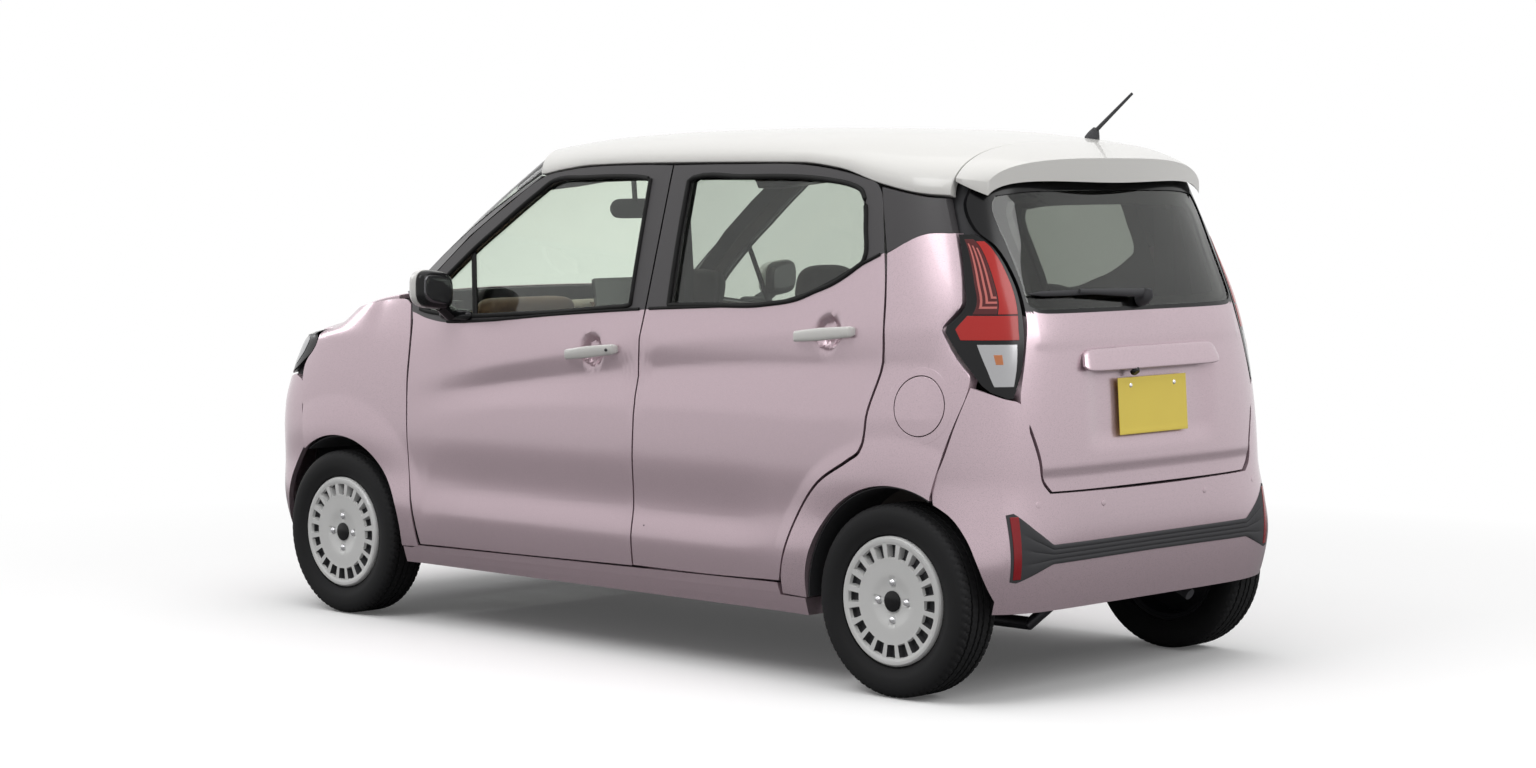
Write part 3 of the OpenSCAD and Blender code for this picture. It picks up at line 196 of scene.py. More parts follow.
class Skin:
    """The outer skin of the body as formulas of place, in millimetres."""

    CREASE, FLARE, STEP = 17.0, 9.0, 7.0
    FRONT_M, FRONT_N = 3.4, 18.0

    @staticmethod
    def half_w(z: Array) -> Array:
        """Half width of the body at a height."""
        return BODY_HALF - curve(SIDE_INSET, z)

    @staticmethod
    def rear_a(z: Array) -> Array:
        """Reach of the tail behind the middle at a height."""
        return -TAIL - curve(REAR_INSET, z)

    @staticmethod
    def front_a(z: Array) -> Array:
        """Reach of the nose ahead of the middle at a height."""
        return NOSE - curve(FRONT_INSET, z)

    @staticmethod
    def rear_m(z: Array) -> Array:
        """Power of the rear corner across the car."""
        return mix(5.5, 4.0, ease(600, 1100, z))

    @staticmethod
    def rear_n(z: Array) -> Array:
        """Power of the rear corner along the car."""
        return mix(26.0, 13.0, ease(380, 640, z))

    @classmethod
    def plan_y(cls, x: Array, z: Array) -> Array:
        """Half width at x: a superellipse fore and aft of the middle, drawn in at the front glass.

        Args:
            x, z: place along the car and height.

        Returns:
            The half width.
        """
        x, z = np.broadcast_arrays(np.asarray(x, float), np.asarray(z, float))
        back = (1 - np.clip(-x / cls.rear_a(z), 0, 0.9999) ** cls.rear_n(z)) ** (1 / cls.rear_m(z))
        fore = (1 - np.clip(x / cls.front_a(z), 0, 0.9999) ** cls.FRONT_N) ** (1 / cls.FRONT_M)
        pinch = 15 * ease(900, 1150, z) * (x / 900) ** 2 * (1 - ease(1000, 1060, x))
        return np.where(x < 0, cls.half_w(z) * back, cls.half_w(z) * fore - pinch)

    @classmethod
    def fold(cls, x: Array, z: Array) -> Array:
        """Shoulder fold: level above the crease, sloping in below it, and back out lower down.

        Args:
            x, z: place along the car and height.

        Returns:
            How far it moves the skin out.
        """
        along = (F - 395 - x) / 1760
        s = z - (811 + 343 * along - 120 * along ** 2)
        depth = cls.CREASE * ease(F - 300, F - 900, x) * ease(R - 200, R - 100, x)
        drop = 62 + 34 * np.clip(along, 0, 1)
        u = -s / drop
        ramp = 0.5 * (u + np.sqrt(u * u + 0.002))
        ramp = 1 - 0.5 * ((1 - ramp) + np.sqrt((1 - ramp) ** 2 + 0.004))
        width = 62 + 90 * np.clip((F - 800 - x) / 1350, 0, 1)
        back = np.clip((-s - drop) / width, 0, 1)
        return -depth * np.clip(ramp, 0, 1) * (1 - 0.85 * back)

    @classmethod
    def step(cls, x: Array, z: Array) -> Array:
        """Facet low on the doors: sloping in from a lower edge to a crease, and easing out above it.

        Args:
            x, z: place along the car and height.

        Returns:
            How far it moves the skin out.
        """
        along = ease(F - 400, F - 640, x) * ease(R + 430, R + 640, x)
        rise = np.clip((z - 378) / 78, 0, 1) * (1 - np.clip((z - 456) / 230, 0, 1)) ** 2
        return -cls.STEP * along * rise

    @classmethod
    def lip(cls, x: Array, z: Array, axle: float) -> Array:
        """Swelling round a wheel arch that starts at a crease and eases into the lip."""
        q = np.clip(1 - (np.hypot(x - axle, z - TYRE_R) - ARCH_R) / 140, 0, 1)
        return cls.FLARE * q * (2 - q)

    @classmethod
    def skin_y(cls, x: Array, z: Array) -> Array:
        """Half width of the finished skin at x and z."""
        return cls.plan_y(x, z) + cls.fold(x, z) + cls.step(x, z) + cls.lip(x, z, F) + cls.lip(x, z, R)

    @classmethod
    def side(cls, x: Array, z: Array, d: Array = 0.0) -> Array:
        """Points on the left side, d below the skin."""
        x, z = np.broadcast_arrays(np.asarray(x, float), np.asarray(z, float))
        return np.stack([x, cls.skin_y(x, z) - d, z], -1)

    @classmethod
    def rear(cls, t: Array, z: Array, d: Array = 0.0) -> Array:
        """Points round the tail by plan angle in degrees, 90 in the middle, d below the skin.

        Args:
            t, z: plan angle in degrees, and height.
            d: depth below the skin.

        Returns:
            The points.
        """
        s, c = np.sin(np.radians(t)), np.cos(np.radians(t))
        x = -(cls.rear_a(z) - d * s ** 4) * np.abs(s) ** (2 / cls.rear_n(z))
        y = (cls.half_w(z) - d * c ** 2) * np.abs(c) ** (2 / cls.rear_m(z)) * np.sign(c)
        return np.stack(np.broadcast_arrays(x, y, z), -1)

    @classmethod
    def front(cls, t: Array, z: Array, d: Array = 0.0) -> Array:
        """Points round the nose by plan angle in degrees, 90 in the middle, d below the skin.

        Args:
            t, z: plan angle in degrees, and height.
            d: depth below the skin.

        Returns:
            The points.
        """
        s, c = np.sin(np.radians(t)), np.cos(np.radians(t))
        x = (cls.front_a(z) - d * s ** 4) * np.abs(s) ** (2 / cls.FRONT_N)
        y = (cls.half_w(z) - d * c ** 2) * np.abs(c) ** (2 / cls.FRONT_M) * np.sign(c)
        return np.stack(np.broadcast_arrays(x, y, z), -1)

    @classmethod
    def rear_by_x(cls, x: Array, z: Array) -> Array:
        """Plan angle of a place on the tail by its x."""
        return np.degrees(np.arcsin(np.clip(-x / cls.rear_a(z), 0, 1) ** (cls.rear_n(z) / 2)))

    @classmethod
    def rear_by_y(cls, y: Array, z: Array) -> Array:
        """Plan angle of a place on the tail by its y, past 90 on the right."""
        a = np.degrees(np.arccos(np.clip(np.abs(y) / cls.half_w(z), 0, 1) ** (cls.rear_m(z) / 2)))
        return np.where(np.asarray(y) < 0, 180 - a, a)

    @classmethod
    def front_by_x(cls, x: Array, z: Array) -> Array:
        """Plan angle of a place on the nose by its x."""
        return np.degrees(np.arcsin(np.clip(x / cls.front_a(z), 0, 1) ** (cls.FRONT_N / 2)))

    @classmethod
    def front_by_y(cls, y: Array, z: Array) -> Array:
        """Plan angle of a place on the nose by its y, past 90 on the right."""
        a = np.degrees(np.arccos(np.clip(np.abs(y) / cls.half_w(z), 0, 1) ** (cls.FRONT_M / 2)))
        return np.where(np.asarray(y) < 0, 180 - a, a)

    @classmethod
    def gate(cls, y: Array, z: Array, d: Array = 0.0) -> Array:
        """Points on the tailgate by y and z, d below the skin.

        Args:
            y, z: place across the car and height.
            d: depth below the skin.

        Returns:
            The points.
        """
        y, z = np.broadcast_arrays(np.asarray(y, float), np.asarray(z, float))
        q = np.minimum(0.98, np.abs(y) / cls.half_w(z)) ** cls.rear_m(z)
        return np.stack([-cls.rear_a(z) * (1 - q) ** (1 / cls.rear_n(z)) + d, y, z], -1)

    @classmethod
    def roof_half(cls, x: Array) -> Array:
        """Half width of the roof along the car."""
        return cls.skin_y(x, curve(ROOF_EDGE, x))

    @staticmethod
    def roof_z(x: Array, s: Array) -> Array:
        """Height of the roof at x, s from -1 to 1 across it: a rounded section from edge to crown."""
        e = curve(ROOF_EDGE, x)
        return e + (curve(ROOF_CROWN, x) - e) * np.sqrt(1 - np.abs(s) ** 3.5)

    @classmethod
    def roof(cls, x: Array, s: Array, d: float = 0.0) -> Array:
        """Points on the roof, d below it.

        Args:
            x, s: place along the car, and across it from -1 to 1.
            d: depth below the skin.

        Returns:
            The points.
        """
        q = np.abs(s) ** 4
        z = cls.roof_z(x, s) - d * (1 - 0.7 * q)
        return np.stack(np.broadcast_arrays(x, s * (cls.roof_half(x) - d * q), z), -1)

    @staticmethod
    def roof_front(s: Array) -> Array:
        """Front edge of the roof across the car, bowed forward."""
        return F - 892 + 180 * (1 - s * s)

    @classmethod
    def screen(cls, s: Array, v: Array, d: float = 0.0) -> Array:
        """Points on the windscreen, foot to head by v, with an even bulge, d below it.

        Args:
            s, v: place across from -1 to 1, and from foot to head.
            d: depth below the skin.

        Returns:
            The points.
        """
        s, v = np.broadcast_arrays(np.asarray(s, float), np.asarray(v, float))
        foot = np.stack([F - 208 - 72 * s * s, 648 * s, BELT + 56 - 4 * s * s], -1)
        xt = cls.roof_front(s) + GAP
        head = np.stack([xt, s * (cls.roof_half(np.minimum(xt, F - 905)) - 8), cls.roof_z(xt, s) - 4], -1)
        b = (22 * np.sin(np.pi * v) - d)[..., None]
        return mix(foot, head, v[..., None]) + b * np.array([0.6, 0.0, 0.8])

    @staticmethod
    def bonnet(x: Array, s: Array, d: float = 0.0) -> Array:
        """Points on the bonnet, s from -1 to 1 across it, d below it."""
        z = mix(curve(BONNET_EDGE, x), curve(BONNET_CROWN, x), (1 - np.abs(s) ** 2.4) ** 0.8) - d
        return np.stack(np.broadcast_arrays(x, s * curve(BONNET_HALF, x), z), -1)


def refine(rows: Sequence[Sequence[float]], n: int, closed: bool, corner: float = 38.0) -> Array:
    """Smooth outlines through the stations of a table.

    Each pair of columns is a plane curve: a cubic per span whose end directions
    follow the neighbours, but stay straight at a station that turns more than corner.

    Args:
        rows: stations of two plane points each.
        n: steps per span.
        closed: whether the last station runs on to the first.
        corner: turn in degrees past which a station stays sharp.

    Returns:
        The stations with n steps in each span.
    """
    p = np.asarray(rows, float)
    count = len(p)
    spans = count if closed else count - 1
    i0 = np.arange(spans)
    i1 = (i0 + 1) % count
    t = (np.arange(n) / n)[None, :, None]
    out = []
    for c in (0, 2):
        q = p[:, c:c + 2]
        chord = q[i1] - q[i0]
        length = np.maximum(np.linalg.norm(chord, axis=1, keepdims=True), 1e-6)
        unit = chord / length
        before = np.roll(unit, 1, axis=0) if closed else np.vstack([unit[:1], unit[:-1]])
        after = np.roll(unit, -1, axis=0) if closed else np.vstack([unit[1:], unit[-1:]])
        cos_c = math.cos(math.radians(corner))
        bend_a = (np.sum(before * unit, 1, keepdims=True) > cos_c)
        bend_b = (np.sum(after * unit, 1, keepdims=True) > cos_c)
        ta = np.where(bend_a, before + unit, unit)
        tb = np.where(bend_b, after + unit, unit)
        ta = ta / np.maximum(np.linalg.norm(ta, axis=1, keepdims=True), 1e-6) * length
        tb = tb / np.maximum(np.linalg.norm(tb, axis=1, keepdims=True), 1e-6) * length
        h = (q[i0][:, None] * (2 * t ** 3 - 3 * t ** 2 + 1) + ta[:, None] * (t ** 3 - 2 * t ** 2 + t)
             + q[i1][:, None] * (3 * t ** 2 - 2 * t ** 3) + tb[:, None] * (t ** 3 - t ** 2))
        flat = h.reshape(-1, 2)
        out.append(flat if closed else np.vstack([flat, q[-1:]]))
    return np.hstack(out)


def span(rows: Array, cols: int, place: Callable[[Array, Array], Array], power: float = 1.0) -> Array:
    """Grid between the two outlines of a table, put in space by place.

    Args:
        rows: stations of two plane points each.
        cols: steps from the first outline to the second.
        place: turns the two plane coordinates into points.
        power: above 1 crowds the steps towards the first outline.

    Returns:
        Points by row and step.
    """
    u = np.linspace(0, 1, cols + 1)[None, :] ** power
    a = mix(rows[:, 0:1], rows[:, 2:3], u)
    b = mix(rows[:, 1:2], rows[:, 3:4], u)
    return place(a, b)


def fan(rows: Sequence[Sequence[float]], axle: float) -> Array:
    """Stations from the wheel arch out to a panel's edge.

    Args:
        rows: angle on the arch, outer x and outer z.
        axle: x of the axle.

    Returns:
        The stations.
    """
    t = np.asarray(rows, float)
    a = np.radians(t[:, 0])
    return np.column_stack([axle + ARCH_R * np.cos(a), TYRE_R + 4 + ARCH_R * np.sin(a), t[:, 1], t[:, 2]])


def pull(rows: Array, d: float) -> Array:
    """Stations whose outer point is drawn d towards the inner one.

    Args:
        rows: stations of two plane points each.
        d: how far.

    Returns:
        The stations.
    """
    u = rows[:, 2:] - rows[:, :2]
    k = np.maximum(0.2, 1 - d / np.maximum(np.linalg.norm(u, axis=1, keepdims=True), 1e-6))
    return np.hstack([rows[:, :2], rows[:, :2] + u * k])


class Side(Enum):
    """Left or right of the car, by the sign of its y."""

    LEFT = 1.0
    RIGHT = -1.0

    @property
    def word(self) -> str:
        """The side's name as node names end with it."""
        return self.name.lower()


# Materials


class Nodes:
    """A material's node tree with short calls to add and join nodes."""

    def __init__(self, tree: bpy.types.NodeTree) -> None:
        """Keep the tree."""
        self.tree = tree

    def add(self, kind: str, **values: object) -> bpy.types.Node:
        """Add a node.

        Args:
            kind: class of the node.
            values: its properties by name.

        Returns:
            The new node.
        """
        node = self.tree.nodes.new(kind)
        for key, value in values.items():
            setattr(node, key, value)
        return node

    def link(self, a: bpy.types.NodeSocket, b: bpy.types.NodeSocket) -> None:
        """Join an output to an input."""
        self.tree.links.new(a, b)

    def place(self) -> bpy.types.NodeSocket:
        """The piece's own coordinates."""
        return self.add("ShaderNodeTexCoord").outputs["Object"]

    def ports(self, inputs: dict[str, float],
              outputs: Sequence[str]) -> tuple[bpy.types.Node, bpy.types.Node]:
        """Sockets of a new group.

        Args:
            inputs: first values by name.
            outputs: names.

        Returns:
            The nodes inside the group that hold its inputs and its outputs.
        """
        sockets = self.tree.interface
        for key, first in inputs.items():
            sockets.new_socket(key, in_out="INPUT", socket_type="NodeSocketFloat").default_value = first
        for key in outputs:
            sockets.new_socket(key, in_out="OUTPUT", socket_type="NodeSocketFloat")
        return self.add("NodeGroupInput"), self.add("NodeGroupOutput")

    def bump(self, height: bpy.types.NodeSocket, strength: float, rise: float,
             shader: bpy.types.Node) -> None:
        """Tilt a shader's normals by a height.

        Args:
            height: socket of the height.
            strength: share of the tilt.
            rise: what a height of 1 stands for, in metres.
            shader: the shader node.
        """
        node = self.add("ShaderNodeBump")
        node.inputs["Strength"].default_value = strength
        node.inputs["Distance"].default_value = rise
        self.link(height, node.inputs["Height"])
        self.link(node.outputs[0], shader.inputs["Normal"])

    def math(self, op: str, a: object, b: object = 0.0) -> bpy.types.NodeSocket:
        """Arithmetic on two values or sockets.

        Args:
            op: name of the operation.
            a: first value or socket.
            b: second value or socket.

        Returns:
            The result's socket.
        """
        node = self.add("ShaderNodeMath", operation=op)
        for k, v in enumerate((a, b)):
            if isinstance(v, bpy.types.NodeSocket):
                self.link(v, node.inputs[k])
            else:
                node.inputs[k].default_value = float(v)
        return node.outputs[0]

    def blend(self, mask: bpy.types.NodeSocket, a: Sequence[float],
              b: Sequence[float]) -> bpy.types.NodeSocket:
        """Colour a where mask is 0 and colour b where it is 1.

        Args:
            mask: socket from 0 to 1.
            a, b: colours or sockets.

        Returns:
            The result's socket.
        """
        node = self.add("ShaderNodeMix", data_type="RGBA")
        self.link(mask, node.inputs[0])
        for k, v in ((6, a), (7, b)):
            if isinstance(v, bpy.types.NodeSocket):
                self.link(v, node.inputs[k])
            else:
                node.inputs[k].default_value = (*v, 1.0)
        return node.outputs[2]


def group(name: str, build: Callable[[Nodes], None]) -> bpy.types.NodeTree:
    """A shader node group, built the first time it is asked for.

    Args:
        name: the group's name.
        build: fills the new tree.

    Returns:
        The group's tree.
    """
    tree = bpy.data.node_groups.get(name)
    if tree is None:
        tree = bpy.data.node_groups.new(name, "ShaderNodeTree")
        build(Nodes(tree))
    return tree


def _grain(n: Nodes) -> None:
    """Fine moulded grain: two noises on Object coordinates, as a height and a slow mottle.

    Args:
        n: the tree's helper.
    """
    gi, go = n.ports({"Scale": 900.0, "Mottle Scale": 6.0}, ("Height", "Mottle"))
    co = n.place()
    for k, (key, detail) in enumerate((("Scale", 2.0), ("Mottle Scale", 4.0))):
        noise = n.add("ShaderNodeTexNoise")
        noise.inputs["Detail"].default_value = detail
        n.link(co, noise.inputs["Vector"])
        n.link(gi.outputs[key], noise.inputs["Scale"])
        n.link(noise.outputs["Fac"], go.inputs[k])


def _flake(n: Nodes) -> None:
    """Metallic flake: tiny cells, each a little lighter or darker, as a mask.

    Args:
        n: the tree's helper.
    """
    gi, go = n.ports({"Scale": 1400.0}, ("Mask",))
    co = n.place()
    cells = n.add("ShaderNodeTexVoronoi")
    n.link(co, cells.inputs["Vector"])
    n.link(gi.outputs["Scale"], cells.inputs["Scale"])
    grey = n.add("ShaderNodeSeparateColor")
    n.link(cells.outputs["Color"], grey.inputs[0])
    n.link(grey.outputs[0], go.inputs[0])


def _band(n: Nodes) -> None:
    """Mask that is 1 above the lower edge of the window band, read along x from a curve.

    Args:
        n: the tree's helper.
    """
    go = n.ports({}, ("Mask",))[1]
    sep = n.add("ShaderNodeSeparateXYZ")
    n.link(n.place(), sep.inputs[0])
    x0, x1, z0, z1 = BAND[0][0] * MM, BAND[-1][0] * MM, 1.0, 1.4
    where = n.math("DIVIDE", n.math("SUBTRACT", sep.outputs[0], x0), x1 - x0)
    line = n.add("ShaderNodeFloatCurve")
    n.link(where, line.inputs["Value"])
    points = line.mapping.curves[0].points
    keys = [((x * MM - x0) / (x1 - x0), (z * MM - z0) / (z1 - z0)) for x, z in BAND]
    points[0].location, points[1].location = keys[0], keys[-1]
    for key in keys[1:-1]:
        points.new(*key)
    line.mapping.update()
    edge = n.math("ADD", n.math("MULTIPLY", line.outputs[0], z1 - z0), z0)
    over = n.math("SUBTRACT", sep.outputs[2], edge)
    step = n.math("MULTIPLY", over, 1500.0)
    n.link(n.math("MINIMUM", n.math("MAXIMUM", step, 0.0), 1.0), go.inputs[0])


def _weave(n: Nodes) -> None:
    """Cloth: two crossed waves, as a height and a thread mask.

    Args:
        n: the tree's helper.
    """
    gi, go = n.ports({"Scale": 260.0}, ("Height", "Thread"))
    co = n.place()
    waves = []
    for direction in ("Y", "Z"):
        w = n.add("ShaderNodeTexWave", bands_direction=direction)
        w.inputs["Distortion"].default_value = 0.6
        n.link(co, w.inputs["Vector"])
        n.link(gi.outputs["Scale"], w.inputs["Scale"])
        waves.append(w.outputs["Fac"])
    both = n.math("MULTIPLY", waves[0], waves[1])
    n.link(both, go.inputs[0])
    n.link(n.math("MAXIMUM", waves[0], waves[1]), go.inputs[1])


@dataclass(frozen=True)
class Finish:
    """A surface finish: what every material of the car shares.

    The colour mottles slowly, the roughness follows it, and a grain gives bump.
    """

    name: str
    color: tuple[float, float, float]
    roughness: float = 0.45
    metallic: float = 0.0
    coat: float = 0.0
    grain: float = 900.0
    bump: float = 0.0
    mottle: float = 0.06
    specular: float = 0.5

    def principled(self, mat: bpy.types.Material) -> tuple[Nodes, bpy.types.Node]:
        """Empty tree with a shader and an output.

        Args:
            mat: the material to fill.

        Returns:
            The tree's helper and the shader node.
        """
        mat.use_nodes = True
        mat.node_tree.nodes.clear()
        n = Nodes(mat.node_tree)
        shader = n.add("ShaderNodeBsdfPrincipled")
        n.link(shader.outputs[0], n.add("ShaderNodeOutputMaterial").inputs[0])
        shader.inputs["Metallic"].default_value = self.metallic
        shader.inputs["Coat Weight"].default_value = self.coat
        shader.inputs["Coat Roughness"].default_value = 0.04
        shader.inputs["Specular IOR Level"].default_value = self.specular
        return n, shader

    def tones(self, low: float, high: float) -> tuple[tuple[float, ...], tuple[float, ...]]:
        """The colour darkened and lightened."""
        return tuple(c * low for c in self.color), tuple(min(1.0, c * high) for c in self.color)

    def dress(self, n: Nodes, shader: bpy.types.Node) -> None:
        """Colour, roughness and bump from the grain group.

        Args:
            n: the tree's helper.
            shader: the shader node.
        """
        g = n.add("ShaderNodeGroup", node_tree=group("moulded_grain", _grain))
        g.inputs["Scale"].default_value = self.grain
        dark, light = self.tones(1 - self.mottle, 1 + self.mottle)
        n.link(n.blend(g.outputs["Mottle"], dark, light), shader.inputs["Base Color"])
        rough = n.math("ADD", n.math("MULTIPLY", g.outputs["Mottle"], 0.12), self.roughness - 0.06)
        n.link(rough, shader.inputs["Roughness"])
        if self.bump:
            n.bump(g.outputs["Height"], self.bump, 0.0006, shader)

    def material(self) -> bpy.types.Material:
        """The finish as a material, made once."""
        mat = bpy.data.materials.get(self.name)
        if mat is None:
            mat = bpy.data.materials.new(self.name)
            self.dress(*self.principled(mat))
        return mat


@dataclass(frozen=True)
class Paint(Finish):
    """Coated metallic paint, satin dark where its mask is 1."""

    flake: float = 1400.0
    sparkle: float = 0.10
    dark: tuple[float, float, float] = (0.052, 0.049, 0.052)
    dark_roughness: float = 0.42

    def mask(self, n: Nodes) -> Optional[bpy.types.NodeSocket]:
        """Nowhere dark."""
        return None

    def dress(self, n: Nodes, shader: bpy.types.Node) -> None:
        """Colour from the flake, with the dark over it where the mask is 1.

        Args:
            n: the tree's helper.
            shader: the shader node.
        """
        f = n.add("ShaderNodeGroup", node_tree=group("metal_flake", _flake))
        f.inputs["Scale"].default_value = self.flake
        color = n.blend(f.outputs["Mask"], *self.tones(1 - self.sparkle, 1 + self.sparkle))
        mask = self.mask(n)
        if mask is None:
            n.link(color, shader.inputs["Base Color"])
            rough = n.math("ADD", n.math("MULTIPLY", f.outputs["Mask"], 0.06), self.roughness - 0.03)
            n.link(rough, shader.inputs["Roughness"])
            return
        n.link(n.blend(mask, color, self.dark), shader.inputs["Base Color"])
        more = n.math("MULTIPLY", mask, self.dark_roughness - self.roughness)
        n.link(n.math("ADD", more, self.roughness), shader.inputs["Roughness"])
        keep = n.math("SUBTRACT", 1.0, mask)
        n.link(n.math("MULTIPLY", keep, self.metallic), shader.inputs["Metallic"])
        n.link(n.math("MULTIPLY", keep, self.coat), shader.inputs["Coat Weight"])


@dataclass(frozen=True)
class DoorPaint(Paint):
    """Body paint, dark above the lower edge of the window band."""

    def mask(self, n: Nodes) -> Optional[bpy.types.NodeSocket]:
        """Dark above the band's lower edge."""
        return n.add("ShaderNodeGroup", node_tree=group("window_band", _band)).outputs["Mask"]


@dataclass(frozen=True)
class SillPaint(Paint):
    """Body paint on the sill, dark on the posts above it."""

    dark_roughness: float = 0.40
    height: float = 0.32

    def mask(self, n: Nodes) -> Optional[bpy.types.NodeSocket]:
        """Dark above the height, in metres.

        Args:
            n: the tree's helper.

        Returns:
            The mask's socket.
        """
        sep = n.add("ShaderNodeSeparateXYZ")
        n.link(n.place(), sep.inputs[0])
        return n.math("GREATER_THAN", sep.outputs[2], self.height)


@dataclass(frozen=True)
class Glass(Finish):
    """Tinted see-through glass or lens."""

    ior: float = 1.45
    clear: float = 1.0

    def dress(self, n: Nodes, shader: bpy.types.Node) -> None:
        """Tint with a faint mottle, and full transmission.

        Args:
            n: the tree's helper.
            shader: the shader node.
        """
        g = n.add("ShaderNodeGroup", node_tree=group("moulded_grain", _grain))
        n.link(n.blend(g.outputs["Mottle"], *self.tones(0.985, 1.015)), shader.inputs["Base Color"])
        shader.inputs["Roughness"].default_value = self.roughness
        shader.inputs["IOR"].default_value = self.ior
        shader.inputs["Transmission Weight"].default_value = self.clear


@dataclass(frozen=True)
class Cloth(Finish):
    """Woven seat cloth."""

    thread: float = 260.0

    def dress(self, n: Nodes, shader: bpy.types.Node) -> None:
        """Thread colour and height from the weave.

        Args:
            n: the tree's helper.
            shader: the shader node.
        """
        g = n.add("ShaderNodeGroup", node_tree=group("seat_weave", _weave))
        g.inputs["Scale"].default_value = self.thread
        n.link(n.blend(g.outputs["Thread"], *self.tones(0.6, 1.3)), shader.inputs["Base Color"])
        shader.inputs["Roughness"].default_value = self.roughness
        shader.inputs["Sheen Weight"].default_value = 0.3
        n.bump(g.outputs["Height"], 0.5, 0.001, shader)


LILAC = (0.585, 0.452, 0.502)
BODY = Paint("body_paint_lilac", LILAC, 0.30, 0.55, 0.6)
DOOR = DoorPaint("door_paint_banded", LILAC, 0.30, 0.55, 0.6)
SIDE_FRAME = SillPaint("side_frame_paint", LILAC, 0.30, 0.55, 0.6)
PEARL = Paint("pearl_white", (0.71, 0.70, 0.675), 0.34, 0.0, 0.5, sparkle=0.03)
MIRROR = Finish("mirror_glass", (0.10, 0.10, 0.105), 0.08, 0.8)
SATIN = Finish("satin_dark", (0.058, 0.055, 0.058), 0.42, bump=0.05, specular=0.35)
BLACK = Finish("black_plastic", (0.007, 0.007, 0.0075), 0.5, bump=0.25, specular=0.12)
GLOSS = Finish("gloss_black", (0.008, 0.008, 0.009), 0.2, specular=0.28)
RUBBER = Finish("tyre_rubber", (0.016, 0.016, 0.017), 0.7, bump=0.3, grain=500.0, mottle=0.2, specular=0.22)
SEAL = Finish("seal_rubber", (0.008, 0.008, 0.008), 0.6, specular=0.2)
COVER = Finish("wheel_cover_white", (0.80, 0.80, 0.79), 0.32, coat=0.5)
STEEL = Finish("chassis_steel", (0.03, 0.03, 0.032), 0.55, 0.4, bump=0.2, grain=300.0)
CHROME = Finish("chrome", (0.80, 0.80, 0.82), 0.08, 1.0)
ALLOY = Finish("cast_alloy", (0.42, 0.42, 0.44), 0.45, 0.9, bump=0.3, grain=400.0)
TRIM_CLOTH = Finish("door_lining", (0.10, 0.085, 0.078), 0.7, bump=0.3)
DASH = Finish("dash_brown", (0.19, 0.105, 0.06), 0.6, bump=0.3)
DASH_PALE = Finish("dash_beige", (0.48, 0.40, 0.32), 0.6, bump=0.3)
LINING = Finish("headliner", (0.52, 0.50, 0.47), 0.8, bump=0.3)
SEAT = Cloth("seat_cloth_brown", (0.075, 0.056, 0.050), 0.85)
CLEAR = Glass("glass_green", (0.84, 0.90, 0.83), 0.0)
SMOKE = Glass("glass_smoked", (0.56, 0.59, 0.55), 0.0)
REAR_PANE = Glass("glass_privacy", (0.30, 0.32, 0.29), 0.0)
RED = Finish("lamp_red", (0.50, 0.016, 0.012), 0.18, coat=0.25, specular=0.3)
DEEP_RED = Finish("lamp_red_deep", (0.10, 0.010, 0.012), 0.2, coat=0.2, specular=0.3)
PINK = Finish("lamp_light_line", (0.62, 0.17, 0.15), 0.2, coat=0.2, specular=0.3)
AMBER = Finish("lamp_amber", (0.60, 0.20, 0.07), 0.3, coat=0.2)
LAMP_CLEAR = Finish("lamp_reflector", (0.42, 0.42, 0.43), 0.22, 0.6, coat=0.3)
REFLEX = Finish("reflector_red", (0.30, 0.006, 0.011), 0.25, coat=0.2, bump=0.4, grain=350.0, specular=0.3)
PLATE = Finish("plate_yellow", (0.97, 0.75, 0.14), 0.4, specular=0.3)
SCREEN = Finish("screen_glass", (0.02, 0.021, 0.022), 0.15, coat=0.5)

# Mesh pieces


def quads(rows: int, cols: int, wrap_r: bool, wrap_c: bool, start: int = 0) -> Array:
    """Faces of a grid of points as four indices each, rows and columns joined round if asked.

    Args:
        rows, cols: size of the grid.
        wrap_r, wrap_c: whether rows and columns join round.
        start: index of its first point.

    Returns:
        The faces.
    """
    i = np.arange(rows if wrap_r else rows - 1)[:, None]
    j = np.arange(cols if wrap_c else cols - 1)[None, :]
    i1, j1 = (i + 1) % rows, (j + 1) % cols
    idx = np.stack([i * cols + j, i1 * cols + j, i1 * cols + j1, i * cols + j1], -1)
    return idx.reshape(-1, 4) + start


def circle(steps: int) -> Array:
    """Angles of even steps round a full turn."""
    return np.linspace(0, 2 * np.pi, steps, endpoint=False)


def bent(wave: Array, power: float) -> Array:
    """Signed power of a sine or cosine, which squares a round section."""
    return np.sign(wave) * np.abs(wave) ** power


def caps(rows: int, cols: int) -> tuple[list[int], list[int]]:
    """Faces over the first and last row of a grid whose columns join round."""
    return list(range(cols)), list(range((rows - 1) * cols, rows * cols))[::-1]


def shrink(loop: Array, shares: Array) -> Array:
    """Copies of a closed outline, each drawn to its middle by a share of its size."""
    mid = loop.mean(0)
    return mid + (loop[:, None] - mid) * shares[None, :, None]


